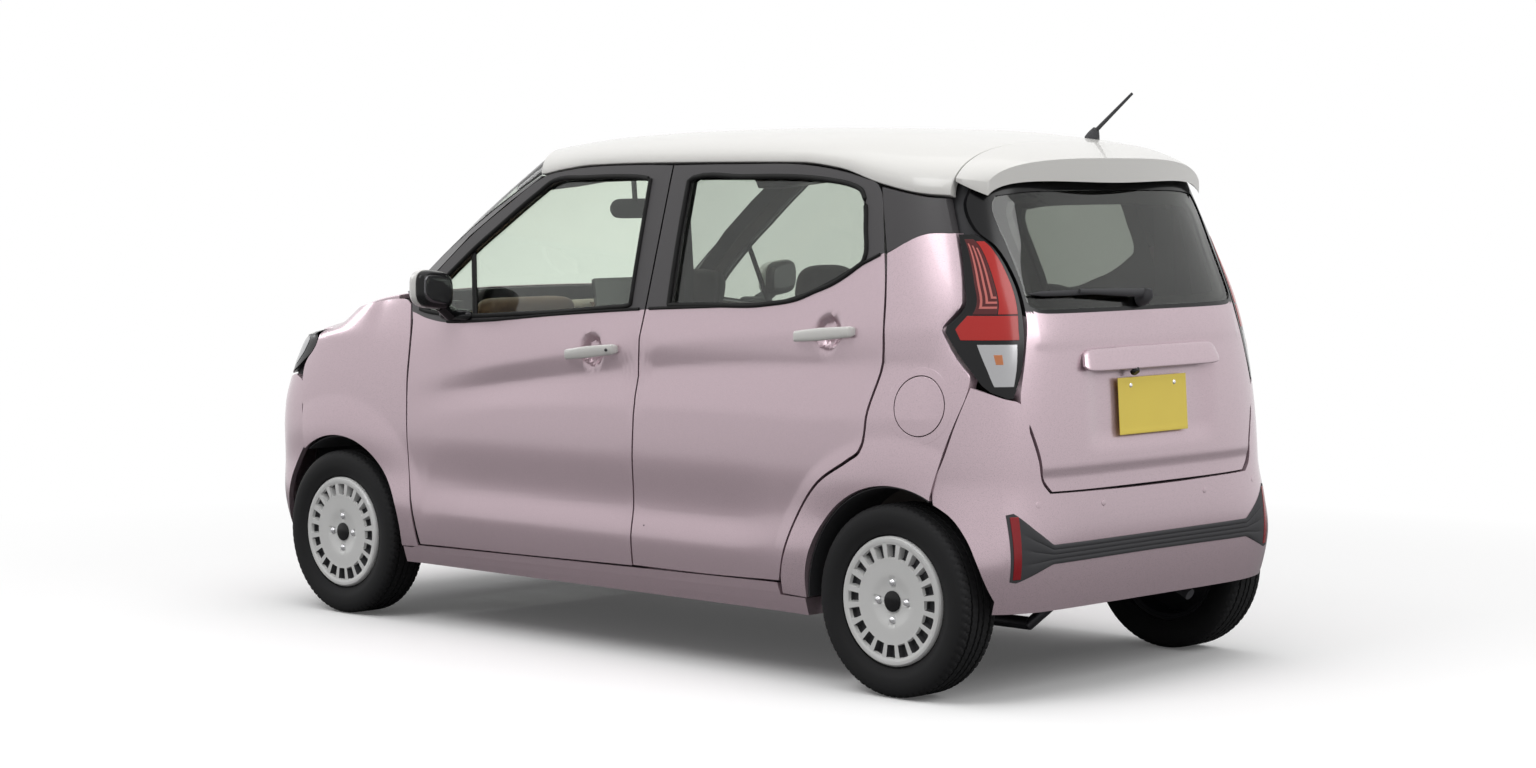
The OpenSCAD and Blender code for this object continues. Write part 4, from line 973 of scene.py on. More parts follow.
def put(name: str, points: Array, faces: Array, finishes: Sequence[Finish], slots: Optional[Array] = None,
        bevel: float = 0.0, sharp: float = 35.0, ends: Sequence[Sequence[int]] = ()) -> bpy.types.Object:
    """Make a piece from points in millimetres.

    Args:
        name: the piece's name.
        points: its points.
        faces: four indices per face.
        finishes: its finishes.
        slots: which finish each face has.
        bevel: width of the rounding on its hard edges, in millimetres.
        sharp: angle in degrees past which an edge is hard.
        ends: further many-sided faces.

    Returns:
        The object, at the origin, with its faces turned outwards.
    """
    v = np.asarray(points, float).reshape(-1, 3)
    tri = np.concatenate([faces[:, [0, 1, 2]], faces[:, [0, 2, 3]]])
    ends = [list(e) for e in ends]
    for e in ends:
        e = np.asarray(e)
        tri = np.vstack([tri, np.column_stack([np.full(len(e) - 2, e[0]), e[1:-1], e[2:]])])
    mid = v.mean(0)
    a, b, c = (v[tri[:, k]] - mid for k in range(3))
    volume = np.einsum("ij,ij->i", a, np.cross(b, c)).sum()
    if volume < 0:
        faces = faces[:, ::-1]
        ends = [e[::-1] for e in ends]
    mesh = bpy.data.meshes.new(name)
    mesh.from_pydata((v * MM).tolist(), [], faces.tolist() + ends)
    if slots is not None:
        slots = np.concatenate([slots, np.zeros(len(ends), int)]).astype(np.int32)
        mesh.polygons.foreach_set("material_index", slots)
    mesh.polygons.foreach_set("use_smooth", np.ones(len(mesh.polygons), bool))
    for finish in finishes:
        mesh.materials.append(finish.material())
    mesh.update()
    mesh.set_sharp_from_angle(angle=math.radians(sharp))
    obj = bpy.data.objects.new(name, mesh)
    bpy.context.scene.collection.objects.link(obj)
    if bevel:
        mod = obj.modifiers.new("edge", "BEVEL")
        mod.width, mod.segments, mod.limit_method = bevel * MM, 2, "ANGLE"
        mod.angle_limit, mod.harden_normals = math.radians(50), True
    return obj


def shell(name: str, outer: Array, inner: Array, finishes: Sequence[Finish], wrap: bool = False,
          bevel: float = 2.0, sharp: float = 35.0) -> bpy.types.Object:
    """Closed panel between an outer and an inner grid of points.

    Args:
        name: the piece's name.
        outer: outer points by row and column.
        inner: inner points, as many.
        finishes: outer finish, then the inner one if it differs.
        wrap: whether the last row joins the first.
        bevel: rounding of the edges in millimetres.
        sharp: angle past which an edge is hard.

    Returns:
        The object.
    """
    r, c = outer.shape[:2]
    n = r * c
    top = quads(r, c, wrap, False)
    low = top[:, ::-1] + n
    i = np.arange(r if wrap else r - 1)
    i1 = (i + 1) % r
    rim = [np.column_stack([i * c, n + i * c, n + i1 * c, i1 * c]),
           np.column_stack([i * c + c - 1, i1 * c + c - 1, n + i1 * c + c - 1, n + i * c + c - 1])]
    if not wrap:
        j = np.arange(c - 1)
        last = (r - 1) * c
        rim += [np.column_stack([j, j + 1, n + j + 1, n + j]),
                np.column_stack([last + j, n + last + j, n + last + j + 1, last + j + 1])]
    faces = np.vstack([top, low] + rim)
    slots = np.zeros(len(faces), int)
    if len(finishes) > 1:
        slots[len(top):2 * len(top)] = 1
    points = np.concatenate([outer.reshape(-1, 3), inner.reshape(-1, 3)])
    return put(name, points, faces, finishes, slots, bevel, sharp)


def side_shell(name: str, side: Side, grids: Sequence[Array], finishes: Sequence[Finish], wrap: bool = False,
               bevel: float = 2.0) -> bpy.types.Object:
    """Panel worked out on the left, put on the given side and named for it."""
    outer, inner = (flip(grid, side) for grid in grids)
    return shell(f"{name}_{side.word}", outer, inner, finishes, wrap, bevel)


def pane(name: str, outer: Array, inner: Array, finish: Finish) -> bpy.types.Object:
    """Sheet of glass between two grids that fan out from a small hub.

    Args:
        name: the piece's name.
        outer: outer points by row round the pane and column from the hub out.
        inner: inner points, as many.
        finish: its finish.

    Returns:
        The object.
    """
    n, c = outer.shape[:2]
    i, i1 = np.arange(n) * c, np.roll(np.arange(n), -1) * c
    out, low = c - 1, n * c
    rim = np.column_stack([i + out, i1 + out, low + i1 + out, low + i + out])
    faces = np.vstack([quads(n, c, True, False), quads(n, c, True, False, low)[:, ::-1], rim])
    points = np.concatenate([outer.reshape(-1, 3), inner.reshape(-1, 3)])
    return put(name, points, faces, [finish], ends=[i.tolist()[::-1], (low + i).tolist()])


def tube(name: str, path: Array, radius: Array, finish: Finish, around: int = 10, closed: bool = False,
         flat: float = 1.0) -> bpy.types.Object:
    """Round or flattened section carried along a path, with its ends closed.

    Args:
        name: the piece's name.
        path: points along it.
        radius: its radius, one or one per point.
        finish: its finish.
        around: steps round the section.
        closed: whether the path joins its start.
        flat: thickness of the section across its second direction, as a share.

    Returns:
        The object.
    """
    p = np.asarray(path, float)
    along = (np.roll(p, -1, 0) - np.roll(p, 1, 0)) if closed else np.gradient(p, axis=0)
    along /= np.linalg.norm(along, axis=1, keepdims=True)
    ref = np.where(np.abs(along[:, 2:3]) > 0.9, np.array([[1.0, 0, 0]]), np.array([[0.0, 0, 1.0]]))
    a = np.cross(along, ref)
    a /= np.linalg.norm(a, axis=1, keepdims=True)
    b = np.cross(along, a)
    ang = circle(around)
    rad = np.broadcast_to(np.asarray(radius, float), (len(p),))[:, None, None]
    c, s = np.cos(ang)[None, :, None], np.sin(ang)[None, :, None]
    ring = p[:, None] + rad * (a[:, None] * c * flat + b[:, None] * s)
    last = (len(p) - 1) * around
    ends = () if closed else (list(range(around))[::-1], list(range(last, last + around)))
    return put(name, ring, quads(len(p), around, closed, True), [finish], ends=ends, sharp=50)


def side_tube(name: str, side: Side, path: Array, radius: Array, finish: Finish, around: int = 10,
              closed: bool = False, flat: float = 1.0) -> bpy.types.Object:
    """Tube along a path worked out on the left, put on the given side and named for it."""
    return tube(f"{name}_{side.word}", flip(path, side), radius, finish, around, closed, flat)


def turned(name: str, profile: Array, axle: float, y: float, sign: float, finish: Finish, around: int = 96,
           shape: Optional[Callable[[Array, Array, Array], Array]] = None) -> bpy.types.Object:
    """Closed profile of radius and outboard offset, turned round a wheel's axle.

    Args:
        name: the piece's name.
        profile: closed loop of radius and offset.
        axle: x of the axle.
        y: y of the wheel's middle.
        sign: 1 on the left, -1 on the right.
        finish: its finish.
        around: steps round the axle.
        shape: changes the radius by angle, radius and offset.

    Returns:
        The object.
    """
    prof = np.asarray(profile, float)
    ang = circle(around)[:, None]
    rad, off = (np.broadcast_to(prof[None, :, k], (around, len(prof))) for k in (0, 1))
    if shape is not None:
        rad = shape(ang, rad, off)
    wide = np.broadcast_to(sign * (y + off), rad.shape)
    pts = np.stack([axle + rad * np.cos(ang), wide, TYRE_R + rad * np.sin(ang)], -1)
    return put(name, pts, quads(around, len(prof), True, True), [finish], sharp=28)


def cushion(name: str, centre: Sequence[float], half: Sequence[float], tilt: float, finish: Finish,
            power: float = 3.2, crown: float = 0.12) -> bpy.types.Object:
    """Stuffed block: a superellipsoid whose wide faces swell and carry sewn channels.

    Args:
        name: the piece's name.
        centre: its middle.
        half: half sizes along its own thickness, width and length.
        tilt: lean about the car's y axis, in degrees.
        finish: its cloth.
        power: squareness of its corners.
        crown: swelling of its face, as a share of its thickness.

    Returns:
        The object.
    """
    lat = np.linspace(-np.pi / 2 + 0.02, np.pi / 2 - 0.02, 36)[:, None]
    lon = np.linspace(-np.pi, np.pi, 72, endpoint=False)[None, :]
    a, b = (bent(np.cos(lat), 2 / power) * bent(f(lon), 2 / power) for f in (np.cos, np.sin))
    c = bent(np.sin(lat), 2 / power) * np.ones_like(lon)
    swell = 1 + crown * (1 - b * b) * (1 - c * c)
    seam = 1 - 0.10 * np.exp(-((np.abs(b) - 0.56) / 0.045) ** 2) * (np.abs(c) < 0.9)
    local = np.stack([a * half[0] * swell * seam, b * half[1], c * half[2]], -1)
    ct, st = math.cos(math.radians(tilt)), math.sin(math.radians(tilt))
    turn = np.array([[ct, 0, st], [0, 1, 0], [-st, 0, ct]])
    pts = local @ turn.T + np.asarray(centre, float)
    n, m = a.shape
    return put(name, pts, quads(n, m, False, True), [finish], sharp=80, ends=caps(n, m))


def dress(nodes: dict[str, bpy.types.Object], names: Sequence[str], finish: Finish) -> None:
    """Give carried-over CAD nodes a finish."""
    for name in names:
        mesh = nodes[name].data
        mesh.materials.clear()
        mesh.materials.append(finish.material())


def seat_on(obj: bpy.types.Object, body: str, slot: str, *replaced: str) -> bpy.types.Object:
    """Ride a piece on a body and hide the nodes it stands for.

    Args:
        obj: the piece.
        body: the body that it rides on.
        slot: its slot; not used.
        replaced: nodes that it stands for.

    Returns:
        The piece.
    """
    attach(obj, body)
    if replaced:
        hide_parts(*replaced)
    LOG.info("%s rides on %s", obj.name, body)
    return obj


def flip(points: Array, side: Side) -> Array:
    """Points of the left side put on the given side."""
    return points * np.array([1.0, side.value, 1.0])


# Sub-assemblies


@dataclass
class Doors:
    """The four side doors with their glass, seals, handles and mirrors."""

    recess_r: float = 54.0
    recess_depth: float = 24.0
    handle_h: float = 19.0

    def skin(self, x: Array, z: Array, hx: float, hz: float) -> Array:
        """Door skin with a round finger bowl behind the handle: a smooth dip inside a circle.

        Args:
            x, z: place along the car and height.
            hx, hz: middle of the bowl.

        Returns:
            The points.
        """
        p = Skin.side(x, z)
        q = np.clip(1 - np.hypot(x - hx, z - hz) / self.recess_r, 0, 1)
        p[..., 1] -= self.recess_depth * ease(0, 0.45, q)
        return p

    def door(self, side: Side, which: str) -> None:
        """Build one door with its glass and seal.

        Args:
            side: left or right.
            which: front or rear.
        """
        table = FRONT_DOOR if which == "front" else REAR_DOOR
        hx, hz = (M + 2, 948.0) if which == "front" else (R + 262, 1038.0)
        body, node = f"{which}_door_{side.word}", f"door_{which}_{side.word}"
        rows = refine(table, 5, True, 62)

        def depth(x: Array, z: Array) -> Array:
            """Inner face of the door, thicker below the glass."""
            return Skin.side(x, z, mix(FRAME_T, DOOR_T, ease(BELT + 25, BELT - 60, z)))

        outer = span(rows, 54, lambda x, z: self.skin(x, z, hx, hz))
        inner = span(pull(rows, 14), 54, depth)
        obj = side_shell(f"{which}_door_panel", side, (outer, inner), [DOOR, TRIM_CLOTH], True, 2.4)
        seat_on(obj, body, "body_paint", node)
        self.glass(side, which, rows, body)
        if which == "front":
            t = np.linspace(0, 1, 14)
            bar = Skin.side(mix(522.0, 588.0, t), mix(1020.0, 1262.0, t), 12.0)
            seat_on(side_tube("window_divider", side, bar, 11.0, SEAL, flat=0.6), body, "black_plastic")

    def glass(self, side: Side, which: str, rows: Array, body: str) -> None:
        """Pane spun from its middle to the window's edge, and a rubber run along that edge.

        Args:
            side: left or right.
            which: front or rear.
            rows: the door's stations.
            body: the body that it rides on.
        """
        loop = rows[:, :2]
        mid = loop.mean(0)
        grid = shrink(loop, np.linspace(0.02, 0.998, 9))
        outer, inner = (flip(Skin.side(grid[..., 0], grid[..., 1], d), side) for d in (14.0, 14.0 + GLASS_T))
        obj = pane(f"{which}_door_glass_{side.word}", outer, inner, CLEAR if which == "front" else SMOKE)
        seat_on(obj, body, "glass", f"glass_{which}_{side.word}")
        edge = mid + (loop - mid) * (1 + 6.0 / np.linalg.norm(loop - mid, axis=1, keepdims=True))
        path = Skin.side(edge[:, 0], edge[:, 1], 1.0)
        seat_on(side_tube(f"{which}_window_seal", side, path, 8.0, SEAL, 8, True), body, "black_plastic")

    def belt_strip(self, side: Side, which: str) -> None:
        """Flat dark strip along the lower edge of the window band.

        Args:
            side: left or right.
            which: front or rear.
        """
        x0, x1 = (M + 700, M - 196) if which == "front" else (M - 240, R + 100)
        x = np.linspace(x0, x1, 60)
        z = curve(BAND, x) + 3
        obj = side_tube(f"{which}_belt_strip", side, Skin.side(x, z, -1.0), 5.0, SEAL, 8)
        seat_on(obj, f"{which}_door_{side.word}", "black_plastic")

    def handle(self, side: Side, which: str) -> None:
        """Pull bar: a rounded section carried along a shallow bow, its ends turned in to the skin.

        Args:
            side: left or right.
            which: front or rear.
        """
        body = f"{which}_door_{side.word}"
        place = {"front": (M + 108, 930.0, 26.0, 226.0), "rear": (R + 383, 1022.0, 22.0, 230.0)}
        x0, z0, rise, length = place[which]
        t = np.linspace(0, 1, 49)[:, None]
        a = circle(24)[None, :]
        x = x0 - length * t
        z = z0 + rise * t
        taper = np.clip(np.minimum(t, 1 - t) * 26, 0, 1) ** 0.5
        lift = 27 - 14 * (2 * t - 1) ** 2
        sq, sy = bent(np.cos(a), 0.55), bent(np.sin(a), 0.8)
        half = (self.handle_h - 3 * np.abs(2 * t - 1)) * (0.55 + 0.45 * taper)
        zz = z + half * sq
        skin = Skin.plan_y(np.broadcast_to(x, zz.shape), zz) + Skin.fold(x, zz)
        y = skin + lift + 7.5 * sy * (0.4 + 0.6 * taper) - 16 * (1 - taper)
        pts = flip(np.stack([np.broadcast_to(x, zz.shape), y, zz], -1), side)
        n, m = zz.shape
        name = f"{which}_door_handle_{side.word}"
        obj = put(name, pts, quads(n, m, False, True), [PEARL], sharp=60, ends=caps(n, m))
        seat_on(obj, body, "white_paint", f"handle_{which}_{side.word}")
        if which == "front":
            b = np.linspace(0, 1, 8)
            x, zc = x0 - length * 0.86 - 12 * b, z0 + rise * 0.88
            y = Skin.plan_y(x, np.full_like(x, zc)) + Skin.fold(x, np.full_like(x, zc)) + 27 - 14 * 0.55 + 6.2
            knob = np.column_stack([x, y, np.full_like(x, zc)])
            radius = 5.0 * np.sqrt(np.clip(b * (1 - b), 0.02, 1) * 4)
            seat_on(side_tube("handle_button", side, knob, radius, BLACK, 12), body, "black_plastic")

    def mirror(self, side: Side) -> None:
        """Outside mirror: white cap ahead, black housing behind it, glass, strip lamp and foot.

        Args:
            side: left or right.
        """
        body = f"front_door_{side.word}"
        lat = np.linspace(-np.pi / 2 + 0.03, np.pi / 2 - 0.03, 40)[:, None]
        lon = np.linspace(0, np.pi, 41)[None, :]

        def half(name: str, xc: float, reach: float, turn: float, finish: Finish, yc: float, zc: float,
                 w: float, h: float, *replaced: str) -> bpy.types.Object:
            """Half of a squared ball: bowed on one face and flat on the other.

            Args:
                name: start of the piece's name.
                xc, yc, zc: middle of its flat face.
                reach, w, h: its bow, half width and half height.
                turn: 1 bows it forward, -1 back.
                finish: its finish.
                replaced: nodes that it stands for.

            Returns:
                The object.
            """
            p = 2 / 3.4
            cx = np.abs(np.cos(lat)) ** p * np.abs(np.sin(lon)) ** (2 / 2.4)
            cy = np.abs(np.cos(lat)) ** p * bent(np.cos(lon), p)
            cz = bent(np.sin(lat), p) * np.ones_like(lon)
            pts = np.stack([xc + turn * reach * cx, yc + w * cy, zc + h * cz + 8 * cy], -1)
            n, m = cx.shape
            idx = np.arange(n)
            back = np.column_stack([idx[:-1] * m, idx[1:] * m, idx[1:] * m + m - 1, idx[:-1] * m + m - 1])
            faces = np.vstack([quads(n, m, False, False), back])
            obj = put(f"{name}_{side.word}", flip(pts, side), faces, [finish], sharp=50, ends=caps(n, m))
            return seat_on(obj, body, "white_paint" if finish is PEARL else "black_plastic", *replaced)

        yc, zc = 815.0, BELT + 72
        half("mirror_cap", F - 606, 62, 1, PEARL, yc, zc, 76, 62, f"mirror_{side.word}")
        half("mirror_housing", F - 607, 28, -1, GLOSS, yc, zc, 74, 60)
        half("mirror_glass", F - 630, 6, -1, MIRROR, yc + 2, zc + 1, 58, 45)
        t = np.linspace(0, 1, 12)[:, None]
        foot = mix(np.array([F - 588, 726.0, BELT - 10]), np.array([F - 600, 782.0, BELT + 22]), t)
        obj = side_tube("mirror_foot", side, foot, np.linspace(25, 21, 12), GLOSS, 16, flat=0.9)
        seat_on(obj, body, "black_plastic")
        t = np.linspace(0, 1, 25)
        x, z = F - 512 - 158 * t, np.full_like(t, BELT - 13)
        base = np.column_stack([x, Skin.plan_y(x, z) + 5, z])
        taper = np.sqrt(np.clip(1 - (2 * t - 1) ** 6, 0.05, 1))
        seat_on(side_tube("mirror_base", side, base, 19 * taper, GLOSS, 16), body, "black_plastic")
        s = np.linspace(-0.6, 0.95, 16)
        ahead = F - 606 + 63 * np.sqrt(1 - 0.5 * s ** 2) * 0.93
        strip = np.column_stack([ahead, yc + 70 * s, zc - 14 + 8 * s])
        seat_on(side_tube("mirror_strip_lamp", side, strip, 4.0, LAMP_CLEAR, 8), body, "lamp")

    def build(self) -> None:
        """Build all four doors."""
        for side in Side:
            for which in ("front", "rear"):
                self.door(side, which)
                self.belt_strip(side, which)
                self.handle(side, which)
            self.mirror(side)


@dataclass
class Shell:
    """Fixed outer panels: fenders, quarters, pillars, roof and bumpers."""

    lid_r: float = 84.2
    lid_c: tuple[float, float] = (R - 91, 841.0)
    lid_gap: float = 2.8
    rim_r: float = 110.0
    pocket_depth: float = 26.0

    def quarter(self, side: Side) -> None:
        """Quarter panel from the arch out, with a pocket behind the fuel lid on the left.

        Args:
            side: left or right.
        """
        rows = refine(fan(QUARTER, R), 6, False, 62)

        def place(x: Array, z: Array) -> Array:
            """Skin with the fuel pocket.

            Args:
                x, z: place along the car and height.

            Returns:
                The points.
            """
            p = Skin.side(x, z)
            if side is Side.LEFT:
                far = np.hypot(x - self.lid_c[0], z - self.lid_c[1])
                p[..., 1] -= self.pocket_depth * (1 - ease(86, 92, far))
            return p

        outer = span(rows, 50, place)
        inner = span(rows, 50, lambda x, z: Skin.side(x, z, 34.0))
        grids = (self.clear_lamp(outer), self.clear_lamp(inner))
        obj = side_shell("quarter_panel", side, grids, [BODY, TRIM_CLOTH])
        seat_on(obj, "body", "body_paint", f"quarter_{side.word}")

    @staticmethod
    def clear_lamp(points: Array) -> Array:
        """Slide points forward out of the lamp's pointed notch, row by row.

        Args:
            points: points of the left panel.

        Returns:
            The points.
        """
        z, x = np.array(LAMP_NOTCH).T
        limit = R + np.interp(points[..., 2], z, x)
        out = points.copy()
        out[..., 0] = np.maximum(points[..., 0], np.where(points[..., 2] > z[0], limit, -np.inf))
        return out

    def fuel_lid(self) -> None:
        """Round lid lying on the skin, and the painted rim round it."""
        a = circle(72)[:, None]

        def disc(r: Array, d: float) -> Array:
            """Ring of points on the skin."""
            return Skin.side(self.lid_c[0] + r * np.cos(a), self.lid_c[1] + r * np.sin(a), d)

        lid_r = np.linspace(0.5, self.lid_r, 16)[None, :]
        obj = shell("fuel_lid_panel", disc(lid_r, -0.3), disc(lid_r, 3.7), [BODY], True, 1.0)
        seat_on(obj, "fuel_lid", "body_paint", "fuel_lid")
        rim_r = np.linspace(self.lid_r + self.lid_gap, self.rim_r, 6)[None, :]
        obj = shell("fuel_lid_rim", disc(rim_r, -0.25), disc(rim_r, 14.0), [BODY], True, 0.8)
        seat_on(obj, "body", "body_paint")

    def fender(self, side: Side) -> None:
        """Front fender from the arch out to the door, bonnet and lamp.

        Args:
            side: left or right.
        """
        rows = refine(fan(FENDER, F), 6, False, 50)
        grids = [span(rows, 36, lambda x, z, d=d: Skin.side(x, z, d)) for d in (0.0, 5.0)]
        seat_on(side_shell("front_fender", side, grids, [BODY]), "body", "body_paint", "front_fenders")

    def pillar(self, side: Side) -> None:
        """Dark trim over the rear pillar.

        Args:
            side: left or right.
        """
        rows = refine(PILLAR, 8, False)
        grids = [span(rows, 16, lambda x, z, d=d: Skin.side(x, z, d)) for d in (0.0, 30.0)]
        obj = side_shell("rear_pillar_trim", side, grids, [SATIN], bevel=1.5)
        seat_on(obj, "body", "frame_paint", "pillar_trims")

    def roof(self) -> None:
        """White roof on its rounded section, with the headliner below."""
        s = np.sin(np.linspace(-np.pi / 2, np.pi / 2, 81))[:, None]
        s = np.sign(s) * np.abs(s) ** 0.9
        v = np.linspace(0, 1, 61)[None, :]
        x = mix(Skin.roof_front(s), np.full_like(s, R - 85), v)
        obj = shell("roof_skin", Skin.roof(x, s), Skin.roof(x, s, PANEL_T), [PEARL, LINING], False, 3.0)
        seat_on(obj, "body", "white_paint", "roof_panel")

    @staticmethod
    def antenna() -> None:
        """Aerial: a rounded foot turned on the roof, and a tapered rod leaning back from it."""
        x, y = R + 41.0, -250.0
        z = float(Skin.roof_z(np.array(x), y / Skin.roof_half(np.array(x))))
        t = np.linspace(0, 1, 25)
        foot = np.column_stack([x - 16 * t, np.full_like(t, y), z - 3 + 34 * t])
        obj = tube("antenna_foot", foot, 24 * (1 - 0.62 * t ** 1.4), BLACK, 20)
        seat_on(obj, "body", "black_plastic", "antenna")
        rod = np.column_stack([x - 10 - 142 * t, np.full_like(t, y), z + 20 + 115 * t])
        seat_on(tube("antenna_rod", rod, 6.6 - 2.4 * t, BLACK, 12), "body", "black_plastic")

    def bumpers(self) -> None:
        """Front and rear bumpers between their upper and lower edges."""

        def station(rule: Callable[[Array, Array], Array]) -> Callable[[float, float], tuple[float, float]]:
            """Turn a rule for the plan angle into one that gives the angle and the height."""
            return lambda place, z: (float(rule(place, z)), z)

        fx, fy, rx, ry = map(station, (Skin.front_by_x, Skin.front_by_y, Skin.rear_by_x, Skin.rear_by_y))
        front = ((*fx(F + 196, 605), *fx(F + 194, 566)), (*fx(F + 208, 690), *fx(F + 232, 525)),
                 (*fx(F + 217, 790), *fx(F + 282, 455)), (*fx(F + 262, 806), *fx(F + 316, 355)),
                 (*fx(F + 306, 798), *fx(F + 327, 262)), (*fx(F + 360, 786), *fy(668, 250)),
                 (*fy(560, 778), *fy(600, 240)), (*fy(440, 774), *fy(450, 236)),
                 (*fy(220, 771), *fy(220, 232)), (90, 770, 90, 230))
        rear = ((*rx(R - 148, 590), *rx(R - 152, 566)), (*rx(R - 176, 686), *rx(R - 205, 538)),
                (*rx(R - 210, 790), *rx(R - 256, 486)), (*rx(R - 243, 898), *rx(R - 296, 416)),
                (*rx(R - 284, 882), *rx(R - 320, 332)), (*rx(R - 316, 866), *rx(R - 331, 266)),
                (*ry(566, 858), *ry(650, 264)), (*ry(536, 770), *ry(590, 262)),
                (*ry(512, 690), *ry(540, 261)), (*ry(500, 625), *ry(485, 260)),
                (*ry(474, 596), *ry(430, 260)), (*ry(235, 592), *ry(215, 260)), (90, 590, 90, 260))
        for name, table, place in (("front_bumper", front, Skin.front), ("rear_bumper", rear, Skin.rear)):
            t = np.asarray(table, float)
            back = t[-2::-1].copy()
            back[:, [0, 2]] = 180 - back[:, [0, 2]]
            rows = refine(np.vstack([t, back]), 6, False, 60)
            outer, inner = (span(rows, 32, lambda a, z, d=d: place(a, z, d)) for d in (0.0, 22.0))
            seat_on(shell(f"{name}_skin", outer, inner, [BODY], False, 2.0), "body", "bumper_paint", name)

    def build(self) -> None:
        """Build the fixed panels."""
        for side in Side:
            self.quarter(side)
            self.fender(side)
            self.pillar(side)
        self.fuel_lid()
        self.roof()
        self.antenna()
        self.bumpers()


@dataclass
class RearEnd:
    """Tailgate, its glass, spoiler, plate and the lamps and trim of the tail."""

    plate_w: float = 330.0
    plate_h: float = 165.0

    @staticmethod
    def gate_rows(n: int) -> Array:
        """Stations round the whole tailgate.

        Args:
            n: steps per span.

        Returns:
            The stations.
        """
        t = np.asarray(TAILGATE, float)
        back = t[::-1].copy()
        back[:, [0, 2]] *= -1
        return pull(refine(np.vstack([t, back]), n, True, 45), -2.0)

    @staticmethod
    def gate(y: Array, z: Array, d: Array = 0.0) -> Array:
        """Tailgate skin: pressed in round the plate, with a ledge below the glass and a lower step.

        Args:
            y, z: place across the car and height.
            d: depth below the skin.

        Returns:
            The points.
        """
        p = Skin.gate(y, z, d)
        inside = (1 - ease(250, 300, np.abs(y))) * ease(700, 760, z) * (1 - ease(930, 944, z))
        ledge = ease(1000, 1016, z) * (1 - ease(1040, 1112, z)) * (1 - ease(470, 500, np.abs(y)))
        step = 1 - ease(640, 668, z)
        p[..., 0] += 13 * inside - 3 * ledge + 5 * step
        return p

    def tailgate(self) -> None:
        """Tailgate panel, its dark glass and the black border round the glass."""
        rows = self.gate_rows(6)
        outer = span(rows, 44, self.gate)
        inner = span(pull(rows, 12), 44, lambda y, z: Skin.gate(y, z, mix(60.0, 34.0, ease(1000, 1120, z))))
        seat_on(self.two_tone("tailgate_panel", outer, inner, 1106.0), "tailgate", "body_paint", "tailgate")
        grid = shrink(rows[:, :2], np.linspace(0.02, 0.999, 11))
        front, back = (Skin.gate(grid[..., 0], grid[..., 1], d) for d in (4.0, 8.0))
        seat_on(pane("tailgate_pane", front, back, REAR_PANE), "tailgate", "glass", "tailgate_glass")
        edge = shrink(rows[:, :2], np.linspace(0.80, 0.998, 5))
        ring = [Skin.gate(edge[..., 0], edge[..., 1], d) for d in (8.4, 9.6)]
        seat_on(shell("tailgate_glass_border", *ring, [GLOSS], True, 0.0), "tailgate", "black_plastic")

    @staticmethod
    def two_tone(name: str, outer: Array, inner: Array, line: float) -> bpy.types.Object:
        """Panel whose outer faces above a height are dark.

        Args:
            name: the piece's name.
            outer, inner: its grids.
            line: the height.

        Returns:
            The object.
        """
        obj = shell(name, outer, inner, [BODY, TRIM_CLOTH, GLOSS], True, 2.0)
        count = len(obj.data.polygons)
        slots, mids = np.zeros(count, np.int32), np.zeros(count * 3)
        obj.data.polygons.foreach_get("material_index", slots)
        obj.data.polygons.foreach_get("center", mids)
        slots[(mids.reshape(-1, 3)[:, 2] > line * MM) & (slots == 0)] = 2
        obj.data.polygons.foreach_set("material_index", slots)
        return obj

    def spoiler(self) -> None:
        """White roof spoiler: the roof's section carried back and down to a lip."""
        s = np.sin(np.linspace(-np.pi / 2, np.pi / 2, 65))[:, None] * 0.97
        v = np.linspace(0, 1, 25)[None, :]
        half = Skin.roof_half(np.array(R - 85.0))
        x = R - 91 - v * (160 - 80 * s * s)
        z = Skin.roof_z(np.full_like(s, R - 85.0), s) - (34 * v + 14 * v * v) * (1 - 0.85 * s ** 4)
        y = s * half * (1 - 0.075 * v * v)
        outer = np.stack([x, y, z], -1)
        inner = np.stack([x, y, z - mix(18.0, 72.0, v) * (1 - 0.5 * s * s)], -1)
        obj = shell("roof_spoiler", outer, inner, [PEARL], False, 4.0)
        seat_on(obj, "tailgate", "white_paint", "spoiler")

    def plate(self) -> None:
        """Blank yellow plate with a turned edge, two screws and the bar above it."""
        u = np.linspace(-1, 1, 45)[:, None]
        v = np.linspace(-1, 1, 25)[None, :]
        y, z = u * self.plate_w / 2 * np.ones_like(v), 826 + v * self.plate_h / 2 * np.ones_like(u)
        edge = np.maximum(np.abs(u), 1 - (1 - np.abs(v)) * self.plate_h / self.plate_w)
        raise_ = 1.6 * ease(0.945, 0.965, edge) * (1 - ease(0.985, 1.0, edge))
        x = PLATE_X + (z - 745) * PLATE_LEAN - raise_
        front = np.stack([x, y, z], -1)
        back = np.stack([x + raise_ + 2.0, y, z], -1)
        seat_on(shell("number_plate", front, back, [PLATE], False, 1.0), "tailgate", "body_paint")
        a = circle(24)[:, None]
        for k, yc in enumerate((-105.0, 105.0)):
            r = np.array([0.4, 3.0, 5.5, 7.0, 7.0])[None, :]
            h = np.array([3.2, 3.2, 2.6, 1.0, 0.0])[None, :]
            face = PLATE_X + 140 * PLATE_LEAN
            ring = [np.broadcast_to(face - h, (24, 5)), yc + r * np.cos(a), 885 + r * np.sin(a)]
            pts = np.stack(ring, -1)
            inner = pts.copy()
            inner[..., 0] = face + 3
            seat_on(shell(f"plate_screw_{k}", pts, inner, [CHROME], True, 0.0), "tailgate", "chassis_steel")
        self.bar()

